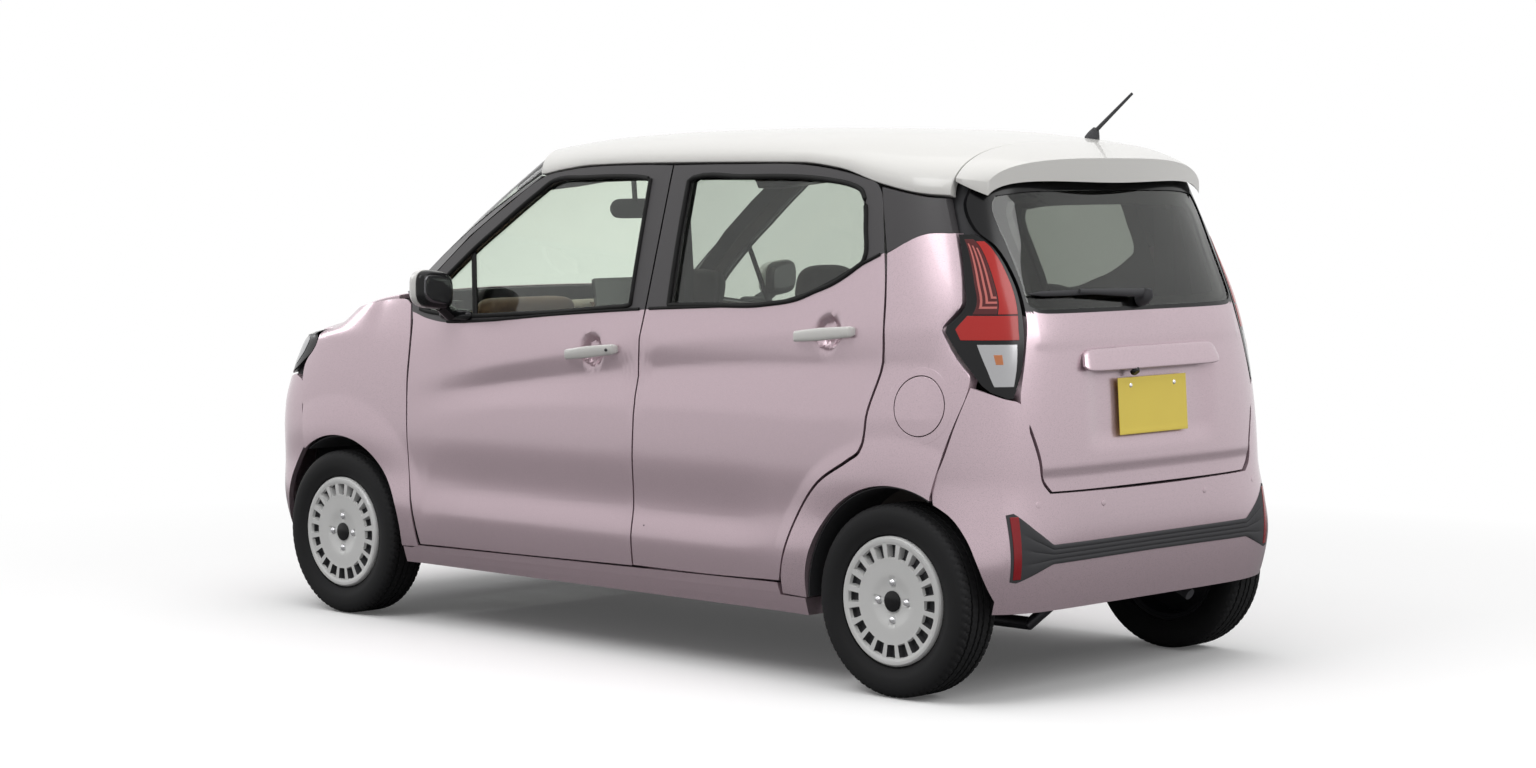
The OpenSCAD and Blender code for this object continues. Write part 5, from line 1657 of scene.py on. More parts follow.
    def bar(self) -> None:
        """Painted bar over the plate: a rounded wedge section carried across the tailgate."""
        y = np.linspace(-1, 1, 61)[:, None]
        a = circle(28)[None, :]
        end = (1 - np.abs(y) ** 14) ** 0.5
        zc = 966 + 33 * bent(np.sin(a), 0.4) * (0.55 + 0.45 * end)
        yy = (330 - 0.3 * (zc - 933)) * y
        base = Skin.gate(yy, zc)[..., 0]
        out = 9 + 11 * bent(np.cos(a), 0.4) * (0.4 + 0.6 * end) + 8 * (966 - zc) / 33
        pts = np.stack([base - out, yy, zc], -1)
        n, m = zc.shape
        obj = put("plate_bar", pts, quads(n, m, False, True), [BODY], sharp=50, ends=caps(n, m))
        seat_on(obj, "tailgate", "body_paint")
        knob = np.array([[-1688.0, 96, 930], [-1692.0, 96, 925], [-1696.0, 96, 921]])
        seat_on(tube("rear_camera", knob, [15.0, 15.0, 11.0], GLOSS, 20), "tailgate", "black_plastic")

    @staticmethod
    def lamp_patch(name: str, side: Side, z0: float, z1: float, c0: float, c1: float, lift: float,
                   finish: Finish, slope: float = 0.0, *replaced: str) -> bpy.types.Object:
        """Patch of the tail lamp's face between two heights and two shares of its width.

        Args:
            name: the piece's name.
            side: left or right.
            z0: lower height.
            z1: upper height.
            c0: share of the width at its outer edge.
            c1: share at its inner edge.
            lift: how far its face stands out of the skin.
            finish: its finish.
            slope: fall of its heights from the outer to the inner edge.
            replaced: nodes that it stands for.

        Returns:
            The object.
        """
        t = np.asarray(TAIL_LAMP, float)
        smooth = refine(np.column_stack([t[:, 1], t[:, 0], t[:, 3], t[:, 2]]), 8, False, 50)
        z = np.linspace(z0, z1, 26)[:, None]
        c = np.linspace(c0, c1, 18)[None, :]
        zz = z - slope * (c - c0) / max(c1 - c0, 1e-6)
        xo = np.interp(zz, smooth[:, 1], smooth[:, 0])
        yi = np.interp(zz, smooth[:, 3], smooth[:, 2])
        ang = mix(Skin.rear_by_x(xo, zz), Skin.rear_by_y(yi, zz), c)
        grids = (Skin.rear(ang, zz, -lift), Skin.rear(ang, zz, 6.0))
        obj = side_shell(name, side, grids, [finish], bevel=1.2)
        return seat_on(obj, "body", "lamp", *replaced)

    def tail_lamp(self, side: Side) -> None:
        """Lamp: black housing with red, light-line and clear lenses laid into it.

        Args:
            side: left or right.
        """
        self.lamp_patch("tail_lamp_housing", side, 867, 1325, 0.0, 1.0, 0.0, GLOSS, 0.0, "tail_lamps")
        self.lamp_patch("tail_lamp_bar", side, 1030, 1098, 0.13, 0.93, 2.4, RED)
        self.lamp_patch("tail_lamp_upper", side, 1102, 1306, 0.60, 0.93, 2.2, RED)
        self.lamp_patch("tail_lamp_inner", side, 1102, 1312, 0.19, 0.585, 1.4, DEEP_RED)
        for k, c in enumerate((0.25, 0.355, 0.46)):
            self.lamp_patch(f"tail_lamp_line_{k}", side, 1122 + 14 * k, 1300 - 6 * k, c, c + 0.045, 2.0, PINK)
            self.lamp_patch(f"tail_lamp_foot_{k}", side, 1118 + 14 * k, 1124 + 14 * k, c, 0.57, 2.0, PINK)
        self.lamp_patch("tail_lamp_clear", side, 900, 1018, 0.32, 0.90, 1.8, LAMP_CLEAR)
        self.lamp_patch("tail_lamp_signal", side, 962, 990, 0.52, 0.66, 2.6, AMBER)

    def bumper_trim(self) -> None:
        """Dark bar across the bumper with lengthwise ribs, rising to an upright reflector at each end."""
        t = np.asarray(TRIM_BAR, float)
        y = np.linspace(-622, 622, 121)
        lo, hi = np.interp(np.abs(y), t[:, 0], t[:, 1]), np.interp(np.abs(y), t[:, 0], t[:, 2])
        v = np.linspace(0, 1, 41)[None, :]
        z = mix(hi[:, None], lo[:, None], v)
        rib = 3.2 * np.abs(np.sin(np.pi * 4 * v)) ** 0.5 * (1 - ease(545, 600, np.abs(y)))[:, None]
        ang = Skin.rear_by_y(np.broadcast_to(y[:, None], z.shape), z)
        grids = Skin.rear(ang, z, -(2.5 + rib)), Skin.rear(ang, z, 4.0)
        obj = shell("bumper_garnish", *grids, [BLACK], False, 1.0, 25)
        seat_on(obj, "body", "black_plastic", "bumper_trim")
        for side in Side:
            self.reflector(side)
            for k, (yc, zc) in enumerate(((246.0, 555.0), (520.0, 568.0))):
                self.park_sensor(side, k, yc, zc)

    @staticmethod
    def reflector(side: Side) -> None:
        """Upright red reflector: a patch of the tail's skin set out from it.

        Args:
            side: left or right.
        """
        y, z = np.broadcast_arrays(np.linspace(588, 613, 10)[:, None], np.linspace(362, 538, 40)[None, :])
        grids = [Skin.rear(Skin.rear_by_y(y, z), z, d) for d in (-6.0, 1.0)]
        seat_on(side_shell("rear_reflector", side, grids, [REFLEX], bevel=1.5), "body", "lamp")

    @staticmethod
    def park_sensor(side: Side, k: int, yc: float, zc: float) -> None:
        """Round sensor: rings of a low button laid on the tail's skin.

        Args:
            side: left or right.
            k: its number.
            yc, zc: its middle.
        """
        q = circle(28)[:, None]
        r = np.array([0.3, 7.0, 9.0, 9.6])[None, :]
        lift = np.array([1.2, 1.2, 0.8, -0.6])[None, :]
        y, z = yc + r * np.cos(q), zc + r * np.sin(q)
        ring = Skin.rear(Skin.rear_by_y(y, z), z, -lift)
        grids = [flip(grid, side) for grid in (ring, ring + np.array([6.0, 0, 0]))]
        obj = shell(f"park_sensor_{side.word}_{k}", *grids, [BODY], True, 0.0)
        seat_on(obj, "body", "bumper_paint")

    def wiper(self) -> None:
        """Rear wiper: cap, tapered arm and a blade that follows the glass."""
        y = np.linspace(20, 300, 24)
        arm = Skin.gate(y, mix(1150.0, 1162.0, (y - 20) / 280), 0.0)
        arm[:, 0] -= np.linspace(30, 20, 24)
        obj = tube("rear_wiper_arm", arm, np.linspace(13, 7, 24), BLACK, 12, flat=0.7)
        seat_on(obj, "tailgate", "black_plastic", "rear_wiper")
        y = np.linspace(40, 482, 40)
        blade = Skin.gate(y, np.full_like(y, 1158.0), 0.0)
        blade[:, 0] -= 10
        radius = 8.0 * np.clip(np.minimum(y - 30, 495 - y) / 60, 0.3, 1)
        seat_on(tube("rear_wiper_blade", blade, radius, BLACK, 10, flat=0.55), "tailgate", "black_plastic")
        foot = Skin.gate(np.array(15.0), np.array(1128.0))
        cap = foot + np.array([(0, 0, 0), (-20, 0, 6), (-34, 0, 20), (-36, 0, 34)])
        seat_on(tube("rear_wiper_cap", cap, [20.0, 20.0, 17.0, 10.0], BLACK, 18), "tailgate", "black_plastic")

    def backing(self) -> None:
        """Black sheets behind the tailgate's foot and glass, put there as painted shade so that the gaps
        round the tailgate show dark: the tail's skin drawn inwards.
        """
        y = np.linspace(-500, 500, 41)[:, None]
        z = np.linspace(530, 660, 13)[None, :]
        outer, inner = (Skin.gate(y, z, d) for d in (66.0, 72.0))
        # painted shade: black sheet behind the gap under the tailgate
        seat_on(shell("tail_backing", outer, inner, [BLACK], False, 0.0), "body", "black_plastic")
        z = np.linspace(1080, 1478, 41)[None, :]
        ends = Skin.rear_by_x(np.full_like(z, R - 70), z), Skin.rear_by_y(np.full_like(z, 505), z)
        a = mix(*ends, np.linspace(0, 1, 25)[:, None])
        z = np.broadcast_to(z, a.shape)
        # painted shade: black strips behind the gaps beside the tailgate glass
        for side in Side:
            grids = [Skin.rear(a, z, d) for d in (62.0, 67.0)]
            seat_on(side_shell("hatch_jamb", side, grids, [BLACK], bevel=0.0), "body", "black_plastic")

    def build(self) -> None:
        """Build the tail."""
        self.backing()
        self.tailgate()
        self.spoiler()
        self.plate()
        for side in Side:
            self.tail_lamp(side)
        self.bumper_trim()
        self.wiper()


@dataclass
class FrontEnd:
    """Bonnet, windscreen, head lamps and grille."""

    bars: int = 5

    def bonnet(self) -> None:
        """Bonnet between its edge and crown, bowed at the front."""
        s = np.linspace(-1, 1, 81)[:, None]
        v = np.linspace(0, 1, 61)[None, :]
        x = mix(F - 175 - 58 * s * s, F + 442 - 158 * np.abs(s) ** 3, v)
        obj = shell("bonnet_panel", Skin.bonnet(x, s), Skin.bonnet(x, s, PANEL_T - 8), [BODY], False, 3.0)
        seat_on(obj, "bonnet", "body_paint", "bonnet")

    def windscreen(self) -> None:
        """Windscreen with its bulge."""
        s = 0.9985 * np.linspace(-1, 1, 61)[:, None]
        v = 0.9965 * np.linspace(0, 1, 41)[None, :]
        obj = shell("windscreen_pane", Skin.screen(s, v), Skin.screen(s, v, GLASS_T + 1), [CLEAR], False, 0.0)
        seat_on(obj, "body", "glass", "windscreen")

    def head_lamp(self, side: Side) -> None:
        """Head lamp: dark housing with a lens and a light line laid on it, as patches of the nose's skin.

        Args:
            side: left or right.
        """
        t = np.asarray(HEAD_LAMP, float)
        outer, inner = Skin.front_by_x(t[:, 1], t[:, 0]), Skin.front_by_y(t[:, 3], t[:, 2])
        fine = refine(np.column_stack([outer, t[:, 0], inner, t[:, 2]]), 8, False, 60)
        n = len(fine)

        def patch(name: str, rows: slice, shares: Array, depths: Sequence[float], finish: Finish,
                  bevel: float) -> bpy.types.Object:
            """Patch of the lamp's face between two stations and two shares of its width.

            Args:
                name: start of the piece's name.
                rows: its stations.
                shares: steps across the lamp.
                depths: outer and inner depth below the skin.
                finish: its finish.
                bevel: rounding of its edges.

            Returns:
                The object.
            """
            part = fine[rows]
            a = mix(part[:, 0:1], part[:, 2:3], shares[None, :])
            z = mix(part[:, 1:2], part[:, 3:4], shares[None, :])
            return side_shell(name, side, [Skin.front(a, z, d) for d in depths], [finish], bevel=bevel)

        obj = patch("head_lamp_housing", slice(0, n), np.linspace(0, 1, 41), (0.5, 15.0), GLOSS, 1.5)
        seat_on(obj, "body", "lamp", "headlamps")
        lens, line = slice(int(n * 0.30), int(n * 0.86)), slice(int(n * 0.88), int(n * 0.96))
        obj = patch("head_lamp_lens", lens, np.linspace(0.12, 0.9, 31), (-1.5, 6.0), LAMP_CLEAR, 1.0)
        seat_on(obj, "body", "lamp")
        obj = patch("head_lamp_line", line, np.linspace(0.06, 0.94, 31), (-2.0, 6.0), PEARL, 1.0)
        seat_on(obj, "body", "lamp")

    def grille(self) -> None:
        """Grille: a dark back with level bars in front of it, and the rippled lower intake."""
        y = np.linspace(-428, 428, 61)[:, None]
        z = np.linspace(902, 777, 21)[None, :]
        yy, zz = np.broadcast_arrays(y, z)
        a = Skin.front_by_y(yy, zz)
        obj = shell("grille_back", Skin.front(a, zz, 14.0), Skin.front(a, zz, 30.0), [BLACK], False, 1.0)
        seat_on(obj, "body", "black_plastic", "grille")
        for k in range(self.bars):
            zc = 792 + k * 23.0
            yb = np.linspace(-420, 420, 61)
            path = Skin.front(Skin.front_by_y(yb, np.full_like(yb, zc)), np.full_like(yb, zc), 9.0)
            obj = tube(f"grille_bar_{k}", path, 6.0, GLOSS if k % 2 else CHROME, 10)
            seat_on(obj, "body", "black_plastic")
        yb = np.linspace(-328, 328, 41)[:, None]
        zb = np.linspace(322, 418, 17)[None, :]
        yy, zz = np.broadcast_arrays(yb, zb)
        ab = Skin.front_by_y(yy, zz)
        wave = 4 * np.sin((zz - 322) / 96 * np.pi * 6)
        face = Skin.front(ab, zz, 0.0)
        face[..., 0] += wave - 1.0
        obj = shell("lower_intake", face, Skin.front(ab, zz, 20.0), [BLACK], False, 1.0)
        seat_on(obj, "body", "black_plastic")

    def backing(self) -> None:
        """Black sheet behind the lamps and grille, put there as painted shade so that the gaps of the nose
        show dark: the nose's skin drawn inwards.
        """
        z = np.linspace(768, 984, 25)[None, :]
        t0 = Skin.front_by_x(F + 150, z)
        a = mix(t0, 180 - t0, np.linspace(0, 1, 41)[:, None])
        z = np.broadcast_to(z, a.shape)
        # painted shade: black sheet behind the nose's gaps
        obj = shell("nose_backing", Skin.front(a, z, 32.0), Skin.front(a, z, 38.0), [BLACK], False, 0.0)
        seat_on(obj, "body", "black_plastic")

    def build(self) -> None:
        """Build the nose."""
        self.backing()
        self.bonnet()
        self.windscreen()
        for side in Side:
            self.head_lamp(side)
        self.grille()


@dataclass
class Wheels:
    """Tyres with tread, wheel covers, rims and the small parts on them."""

    track_half: float = 650.0
    blocks: int = 72
    windows: int = 20

    def tyre(self, side: Side, axle: float, word: str) -> None:
        """Tyre: its section turned round, with grooves round it and cuts across the shoulders.

        Args:
            side: left or right.
            axle: x of the axle.
            word: front or rear.
        """
        half = [(178.6, -56.3), (193, -57.8), (193.5, -64.5), (198, -67), (205, -69), (212, -72.5),
                (220, -75.3), (228, -77), (238, -77.5), (248, -77.5), (256, -76), (262, -74), (266, -72),
                (269, -70.5), (272, -68), (275, -64)]
        tread = [(-60, 276.6), (-56, 277.4), (-52, 278), (-47, 278.2), (-44, 278.2), (-43, 271), (-37, 271),
                 (-36, 278.4), (-24, 278.5), (-15, 278.5), (-14, 271), (-8, 271), (-7, 278.5), (0, 278.5)]
        left = half + [(r, o) for o, r in tread]
        prof = np.array(left + [(r, -o) for r, o in left[-2::-1]])

        def cut(ang: Array, rad: Array, off: Array) -> Array:
            """Narrow slanted cuts across the tread and shoulder.

            Args:
                ang, rad, off: angle, radius and offset of the points.

            Returns:
                The radius with the cuts.
            """
            phase = ang * self.blocks / (2 * np.pi) + off / 40.0
            near = np.abs(phase - np.round(phase))
            deep = np.where(np.abs(off) > 20, 3.6, 2.2) * (rad > 268)
            return rad - deep * (1 - ease(0.08, 0.16, near))

        obj = turned(f"tyre_{word}_{side.word}", prof, axle, self.track_half, side.value, RUBBER, 288, cut)
        seat_on(obj, f"wheel_{word}_{side.word}", "tyre", f"tyre_{word}_{side.word}")

    def cover(self, side: Side, axle: float, word: str) -> None:
        """Wheel cover: a dished disc by angle and radius, with a ring of windows pressed deep into it whose
        floors are black, standing for the dark steel seen through the open vents and for painted shade inside
        them.

        Args:
            side: left or right.
            axle: x of the axle.
            word: front or rear.
        """
        body = f"wheel_{word}_{side.word}"
        ang = circle(240)[:, None]
        steps = [np.linspace(2, 118, 13), np.linspace(122, 167, 19), np.linspace(170, 187, 7)]
        rad = np.concatenate(steps)[None, :]
        face = curve(((2, 60), (36, 60.5), (62, 64), (72, 66.5), (118, 68.5), (126, 69), (166, 69.5),
                      (172, 71.5), (181, 71.5), (187, 65)), rad)
        turn = ang * self.windows / (2 * np.pi)
        share = np.abs(turn - np.round(turn))
        hole = (1 - ease(0.27, 0.33, share)) * ease(125, 129, rad) * (1 - ease(160, 164, rad))
        x, z = rad * np.cos(ang), rad * np.sin(ang)
        nuts = [np.hypot(x - BOLT_R * math.cos(q), z - BOLT_R * math.sin(q))
                for q in np.pi / 2 * np.arange(4)]
        face = face - 20 * hole - 6 * (1 - ease(10.5, 13.5, np.min(nuts, axis=0)))
        grids = [np.stack([axle + x, side.value * (self.track_half + h), TYRE_R + z], -1)
                 for h in (face, np.full_like(face, 44.0))]
        obj = shell(f"wheel_cover_{word}_{side.word}", *grids, [COVER, STEEL, BLACK], True, 0.0, 40)
        # vent floors black: the dark wheel behind the vents, plus painted shade
        deep = (hole[:, :-1] + hole[:, 1:]) / 2 > 0.55
        slots = np.zeros(len(obj.data.polygons), np.int32)
        obj.data.polygons.foreach_get("material_index", slots)
        slots[:deep.size][deep.reshape(-1)] = 2
        obj.data.polygons.foreach_set("material_index", slots)
        seat_on(obj, body, "wheel", body)
        self.ring("wheel_rim", side, axle, word, RIM, STEEL, 96, "wheel")
        self.ring("wheel_disc", side, axle, word, DISC, STEEL, 64, "wheel")

    def ring(self, name: str, side: Side, axle: float, word: str, profile: Sequence[Sequence[float]],
             finish: Finish, around: int, slot: str) -> None:
        """Profile of radius and offset turned round the axle, riding on the wheel.

        Args:
            name: start of the piece's name.
            side: left or right.
            axle: x of the axle.
            word: front or rear.
            profile: closed loop of radius and offset.
            finish: its finish.
            around: steps round the axle.
            slot: its slot.
        """
        full = f"{name}_{word}_{side.word}"
        obj = turned(full, np.array(profile), axle, self.track_half, side.value, finish, around)
        seat_on(obj, f"wheel_{word}_{side.word}", slot)

    def trims(self, side: Side, axle: float, word: str) -> None:
        """Centre cap and four nuts on the cover.

        Args:
            side: left or right.
            axle: x of the axle.
            word: front or rear.
        """
        body = f"wheel_{word}_{side.word}"
        self.ring("hub_cap", side, axle, word, HUB_CAP, GLOSS, 48, "black_plastic")
        for k in range(4):
            a = math.radians(90 * k)
            x, z = axle + BOLT_R * math.cos(a), TYRE_R + BOLT_R * math.sin(a)
            q = circle(24)[:, None]
            r = np.array([[0.3, 6.0, 8.6, 10.4, 10.8]]) * (1 - 0.06 * np.cos(6 * q))
            h = np.array([[68.5, 68.2, 67.0, 64.0, 56.0]]) + 0 * q
            pts = np.stack([x + r * np.cos(q), side.value * (self.track_half + h), z + r * np.sin(q)], -1)
            m = pts.shape[1]
            obj = put(f"wheel_nut_{word}_{side.word}_{k}", pts, quads(24, m, True, False), [CHROME], sharp=40,
                      ends=[list(range(0, 24 * m, m)), list(range(m - 1, 24 * m, m))[::-1]])
            seat_on(obj, body, "wheel")

    def build(self) -> None:
        """Build the four wheels."""
        for side in Side:
            for axle, word in ((F, "front"), (R, "rear")):
                self.tyre(side, axle, word)
                self.cover(side, axle, word)
                self.trims(side, axle, word)


@dataclass
class Cabin:
    """Seats, dash pads and screen, inside mirror and linings seen through the glass."""

    cushion_z: float = 520.0
    seat_y: float = 310.0

    def build(self) -> None:
        """Build the padded seats over their CAD solids and dress the dash."""
        z, y = self.cushion_z, self.seat_y
        self.seats("front_seat", "front_seats", 3.2, [
            (f"{name}_{side.word}", (x, side.value * y, z + rise), half, tilt) for side in Side
            for name, x, rise, half, tilt in (("base", F - 890, -72, (66, 228, 258), 92),
                                              ("back", F - 1200, 228, (58, 226, 296), -16.5),
                                              ("headrest", F - 1292, 600, (37, 128, 72), -12))])
        self.seats("rear_seat", "rear_seat", 4.5, [
            ("base", (R + 635, 0, 432), (70, 538, 268), 92),
            ("back", (R + 345, 0, 722), (54, 524, 290), -14.6),
            ("headrest_left", (R + 268, y - 20, 1086), (35, 132, 63), -12),
            ("headrest_right", (R + 268, 20 - y, 1086), (35, 132, 63), -12)])
        self.screen()
        self.pad("dash_pad_left", 170, 548, 46, DASH)
        self.pad("dash_pad_middle", -150, 168, 30, DASH_PALE)
        self.pad("dash_pad_right", -548, -152, 46, DASH)
        self.inner_mirror()
        for side in Side:
            self.load_trim(side)
            self.posts(side)

    @staticmethod
    def seats(stem: str, node: str, power: float, parts: Sequence[tuple]) -> None:
        """Padded cushions of one row of seats.

        Args:
            stem: start of the pieces' names.
            node: the CAD node that the first of them stands for.
            power: squareness of their corners.
            parts: name, middle, half sizes and lean of each.
        """
        for k, (name, centre, half, tilt) in enumerate(parts):
            obj = cushion(f"{stem}_{name}", centre, half, tilt, SEAT, power)
            seat_on(obj, "body", "seat_fabric", *(() if k else (node,)))

    @staticmethod
    def screen() -> None:
        """Dash screen: a slightly bowed upright sheet with a smaller back."""
        y = np.linspace(-1, 1, 21)[:, None]
        v = np.linspace(-1, 1, 15)[None, :]
        mid = BELT + 36
        yy, zz = 118 * y * np.ones_like(v), mid + 56 * v * np.ones_like(y)
        x = F - 624 - 6 * (y * y) * np.ones_like(v) + 8 * v
        face, back = np.stack([x, yy, zz], -1), np.stack([x + 22, 0.94 * yy, mid + 0.9 * (zz - mid)], -1)
        seat_on(shell("dash_screen", face, back, [SCREEN, BLACK], False, 2.0), "body", "dash_plastic")

    def posts(self, side: Side) -> None:
        """Two round posts under each headrest, straight from the back's top into the pad."""
        z = self.cushion_z
        for row, foot, head, y in (("front", (F - 1270, z + 460), (F - 1288, z + 590), self.seat_y),
                                   ("rear", (R + 290, 950), (R + 273, 1080), self.seat_y - 20)):
            for k, shift in enumerate((-60, 60)):
                ends = [np.array([x, side.value * (y + shift), h]) for x, h in (foot, head)]
                path = mix(ends[0], ends[1], np.linspace(0, 1, 6)[:, None])
                obj = tube(f"{row}_headrest_post_{side.word}_{k}", path, 7.0, STEEL, 12)
                seat_on(obj, "body", "chassis_steel")

    @staticmethod
    def load_trim(side: Side) -> None:
        """Lining beside the load space: a panel that leans out as it rises, hollowed below its sill.

        Args:
            side: left or right.
        """
        x = np.linspace(R - 262, R + 345, 41)[:, None]
        z = np.linspace(447, 1062, 31)[None, :]
        lean = 526 + 22 * ease(700, 1062, z) - 9 * np.exp(-((z - 760) / 60) ** 2) + 0 * x
        cut = ease(R + 210, R + 345, x) * 120
        rise = mix(447 + cut, 1062 + 0 * x, (z - 447) / 615)
        tail = np.maximum(np.broadcast_to(x, lean.shape), R - 262 + 0.26 * np.maximum(rise - 880, 0))
        grids = [np.stack([tail, lean + d, rise], -1) for d in (0.0, 5.0)]
        seat_on(side_shell("load_trim", side, grids, [TRIM_CLOTH], bevel=0.0), "body", "dash_plastic")

    @staticmethod
    def pad(name: str, y0: float, y1: float, rise: float, finish: Finish) -> None:
        """Rounded roll along the dash: a squared oval section carried across the car.

        Args:
            name: the piece's name.
            y0, y1: its ends.
            rise: half its height.
            finish: its finish.
        """
        yb = np.linspace(0, 1, 41)[:, None]
        ang = circle(28)[None, :]
        c, q = bent(np.cos(ang), 0.7), bent(np.sin(ang), 0.7)
        end = (1 - np.abs(2 * yb - 1) ** 10) ** 0.5 * 0.75 + 0.25
        pts = np.stack([F - 545 + 62 * c * end, mix(y0, y1, yb) + 0 * ang, BELT - 12 + rise * q * end], -1)
        n, m = pts.shape[:2]
        obj = put(name, pts, quads(n, m, False, True), [finish], sharp=60, ends=caps(n, m))
        seat_on(obj, "body", "dash_plastic")

    @staticmethod
    def inner_mirror() -> None:
        """Inside mirror: a flattened oval roll under the windscreen's head, with its stem."""
        y = np.linspace(-118, 118, 25)
        path = np.column_stack([F - 700 - 6 * (y / 118) ** 2, y, np.full_like(y, TOP - 262)])
        radius = 34 * np.clip(1 - np.abs(y / 120) ** 6, 0.12, 1) ** 0.5
        seat_on(tube("inner_mirror", path, radius, BLACK, 18, flat=0.35), "body", "black_plastic")
        t = np.linspace(0, 1, 8)[:, None]
        stem = mix(np.array([F - 702.0, 0, TOP - 250]), np.array([F - 690.0, 0, TOP - 118]), t)
        seat_on(tube("inner_mirror_stem", stem, 9.0, BLACK, 10), "body", "black_plastic")


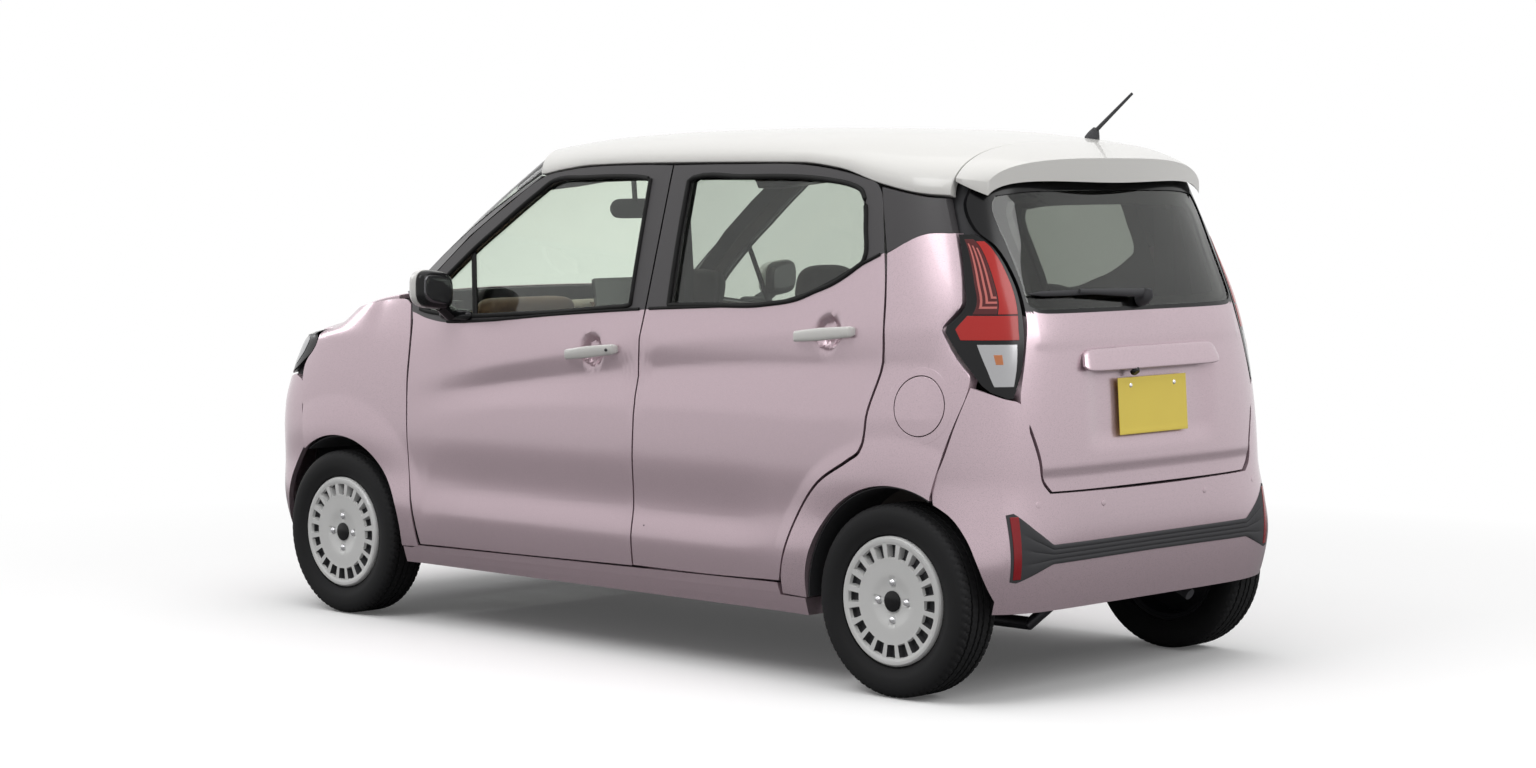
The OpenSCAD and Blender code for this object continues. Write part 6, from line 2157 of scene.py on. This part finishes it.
@dataclass
class Studio:
    """Floor, light and camera of the picture."""

    eye: tuple[float, float, float] = (-7.1067, 7.3075, 1.5005)
    aim: tuple[float, float, float] = (-0.128, 0.0, 0.81)
    focal_px: float = 3097.25
    frame_px: float = 1536.0
    sensor: float = 36.0
    floor_r: float = 40.0
    level: float = 0.04
    overhead: float = 0.82

    def build(self) -> None:
        """Set up the world, lamps, floor and camera."""
        scene = bpy.context.scene
        scene.view_settings.view_transform = "Standard"
        world = bpy.data.worlds.new("studio")
        scene.world = world
        world.use_nodes = True
        n = Nodes(world.node_tree)
        n.tree.nodes.clear()
        path = n.add("ShaderNodeLightPath")
        seen = self.seen_rays(n, path)
        sep = n.add("ShaderNodeSeparateXYZ")
        n.link(n.add("ShaderNodeTexCoord").outputs["Generated"], sep.inputs[0])
        up = n.math("MAXIMUM", sep.outputs[2], 0.0)
        fill = n.math("ADD", n.math("MULTIPLY", up, self.overhead), self.level)
        strength = n.math("MAXIMUM", seen, fill)
        back = n.add("ShaderNodeBackground")
        back.inputs[0].default_value = (1, 1, 1, 1)
        n.link(strength, back.inputs[1])
        n.link(back.outputs[0], n.add("ShaderNodeOutputWorld").inputs[0])
        self.lamp("top_light", (-0.5, 0.6, 5.2), (0, 0, 0.6), 5.2, 72)
        self.lamp("side_light", (-0.2, 5.2, 5.6), (0, 0.6, 0.7), 3.0, 104)
        self.lamp("rear_light", (-6.6, -0.5, 4.2), (-1.6, 0, 0.8), 3.0, 108)
        self.lamp("front_light", (6.8, 1.6, 3.4), (1.0, 0.5, 0.8), 2.4, 55)
        self.floor()
        cam = bpy.data.cameras.new("camera")
        cam.sensor_width = self.sensor
        cam.lens = self.sensor * self.focal_px / self.frame_px
        cam.clip_end = 100
        obj = bpy.data.objects.new("camera", cam)
        scene.collection.objects.link(obj)
        obj.location = self.eye
        obj.rotation_euler = self.look(self.eye, self.aim)
        scene.camera = obj

    @staticmethod
    def seen_rays(n: Nodes, path: bpy.types.Node) -> bpy.types.NodeSocket:
        """1 for rays from the camera, off a gloss or through glass."""
        seen = n.math("MAXIMUM", path.outputs["Is Camera Ray"], path.outputs["Is Glossy Ray"])
        return n.math("MAXIMUM", seen, path.outputs["Is Transmission Ray"])

    @staticmethod
    def look(eye: Sequence[float], aim: Sequence[float]) -> tuple[float, float, float]:
        """Euler turn that points a camera or lamp from eye at aim.

        Args:
            eye, aim: from where to where.

        Returns:
            The turn.
        """
        d = np.asarray(aim, float) - np.asarray(eye, float)
        flat = math.hypot(d[0], d[1])
        return math.atan2(flat, -d[2]), 0.0, math.atan2(-d[0], d[1])

    def lamp(self, name: str, place: Sequence[float], aim: Sequence[float], size: float,
             power: float) -> None:
        """Square soft light.

        Args:
            name: its name.
            place, aim: where it is and what it lights.
            size, power: edge in metres, and watts.
        """
        data = bpy.data.lights.new(name, "AREA")
        data.size, data.energy = size, power
        obj = bpy.data.objects.new(name, data)
        bpy.context.scene.collection.objects.link(obj)
        obj.location, obj.rotation_euler = place, self.look(place, aim)

    def floor(self) -> None:
        """Round pale floor, wide enough to fill the picture, that keeps the shadow."""
        a = circle(64)
        pts = np.column_stack([self.floor_r * np.cos(a), self.floor_r * np.sin(a), np.full(64, -0.0005)])
        mesh = bpy.data.meshes.new("floor")
        mesh.from_pydata(pts.tolist(), [], [list(range(64))])
        mat = bpy.data.materials.new("floor_pale")
        self.floor_material(mat)
        mesh.materials.append(mat)
        obj = bpy.data.objects.new("floor", mesh)
        bpy.context.scene.collection.objects.link(obj)

    @staticmethod
    def floor_material(mat: bpy.types.Material) -> None:
        """White matt floor lifted by a faint glow so that only the shadow shows.

        Args:
            mat: the material to fill.
        """
        mat.use_nodes = True
        n = Nodes(mat.node_tree)
        n.tree.nodes.clear()
        out = n.add("ShaderNodeOutputMaterial")
        base = n.add("ShaderNodeBsdfDiffuse")
        far = n.add("ShaderNodeVectorMath", operation="LENGTH")
        n.link(n.place(), far.inputs[0])
        path = n.add("ShaderNodeLightPath")
        start = n.math("ADD", n.math("MULTIPLY", path.outputs["Is Glossy Ray"], 2.6), 1.6)
        away = n.math("MULTIPLY", n.math("SUBTRACT", far.outputs["Value"], start), 0.34)
        away = n.math("MINIMUM", n.math("MAXIMUM", away, 0.0), 1.0)
        seen = Studio.seen_rays(n, path)
        n.link(n.blend(path.outputs["Is Camera Ray"], (0.28, 0.28, 0.28), (0.95, 0.95, 0.95)), base.inputs[0])
        glow, white = n.add("ShaderNodeEmission"), n.add("ShaderNodeEmission")
        n.link(n.math("MULTIPLY", path.outputs["Is Camera Ray"], 0.07), glow.inputs[1])
        n.link(seen, white.inputs[1])
        near, fade = n.add("ShaderNodeAddShader"), n.add("ShaderNodeMixShader")
        n.link(base.outputs[0], near.inputs[0])
        n.link(glow.outputs[0], near.inputs[1])
        n.link(n.math("MULTIPLY", away, seen), fade.inputs[0])
        n.link(near.outputs[0], fade.inputs[1])
        n.link(white.outputs[0], fade.inputs[2])
        n.link(fade.outputs[0], out.inputs[0])


def dress_nodes(nodes: dict[str, bpy.types.Object]) -> None:
    """Finishes of the CAD nodes that show as they are.

    Args:
        nodes: all nodes by name.
    """
    dress(nodes, ["floor_pan", "arch_liners", "cowl", "fuel_tank"], BLACK)
    dress(nodes, ["front_suspension", "rear_axle", "exhaust", *(f"knuckle_{s.word}" for s in Side)], STEEL)
    dress(nodes, ["engine_block"], ALLOY)
    dress(nodes, ["dashboard"], DASH)
    dress(nodes, ["steering_wheel"], BLACK)
    dress(nodes, [f"side_frame_{s.word}" for s in Side], SIDE_FRAME)


def main() -> None:
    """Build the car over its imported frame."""
    logging.basicConfig(level=logging.INFO)
    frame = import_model()
    dress_nodes(frame["nodes"])
    for assembly in (Doors(), Shell(), RearEnd(), FrontEnd(), Wheels(), Cabin()):
        assembly.build()
    Studio().build()


if __name__ == "__main__":
    main()
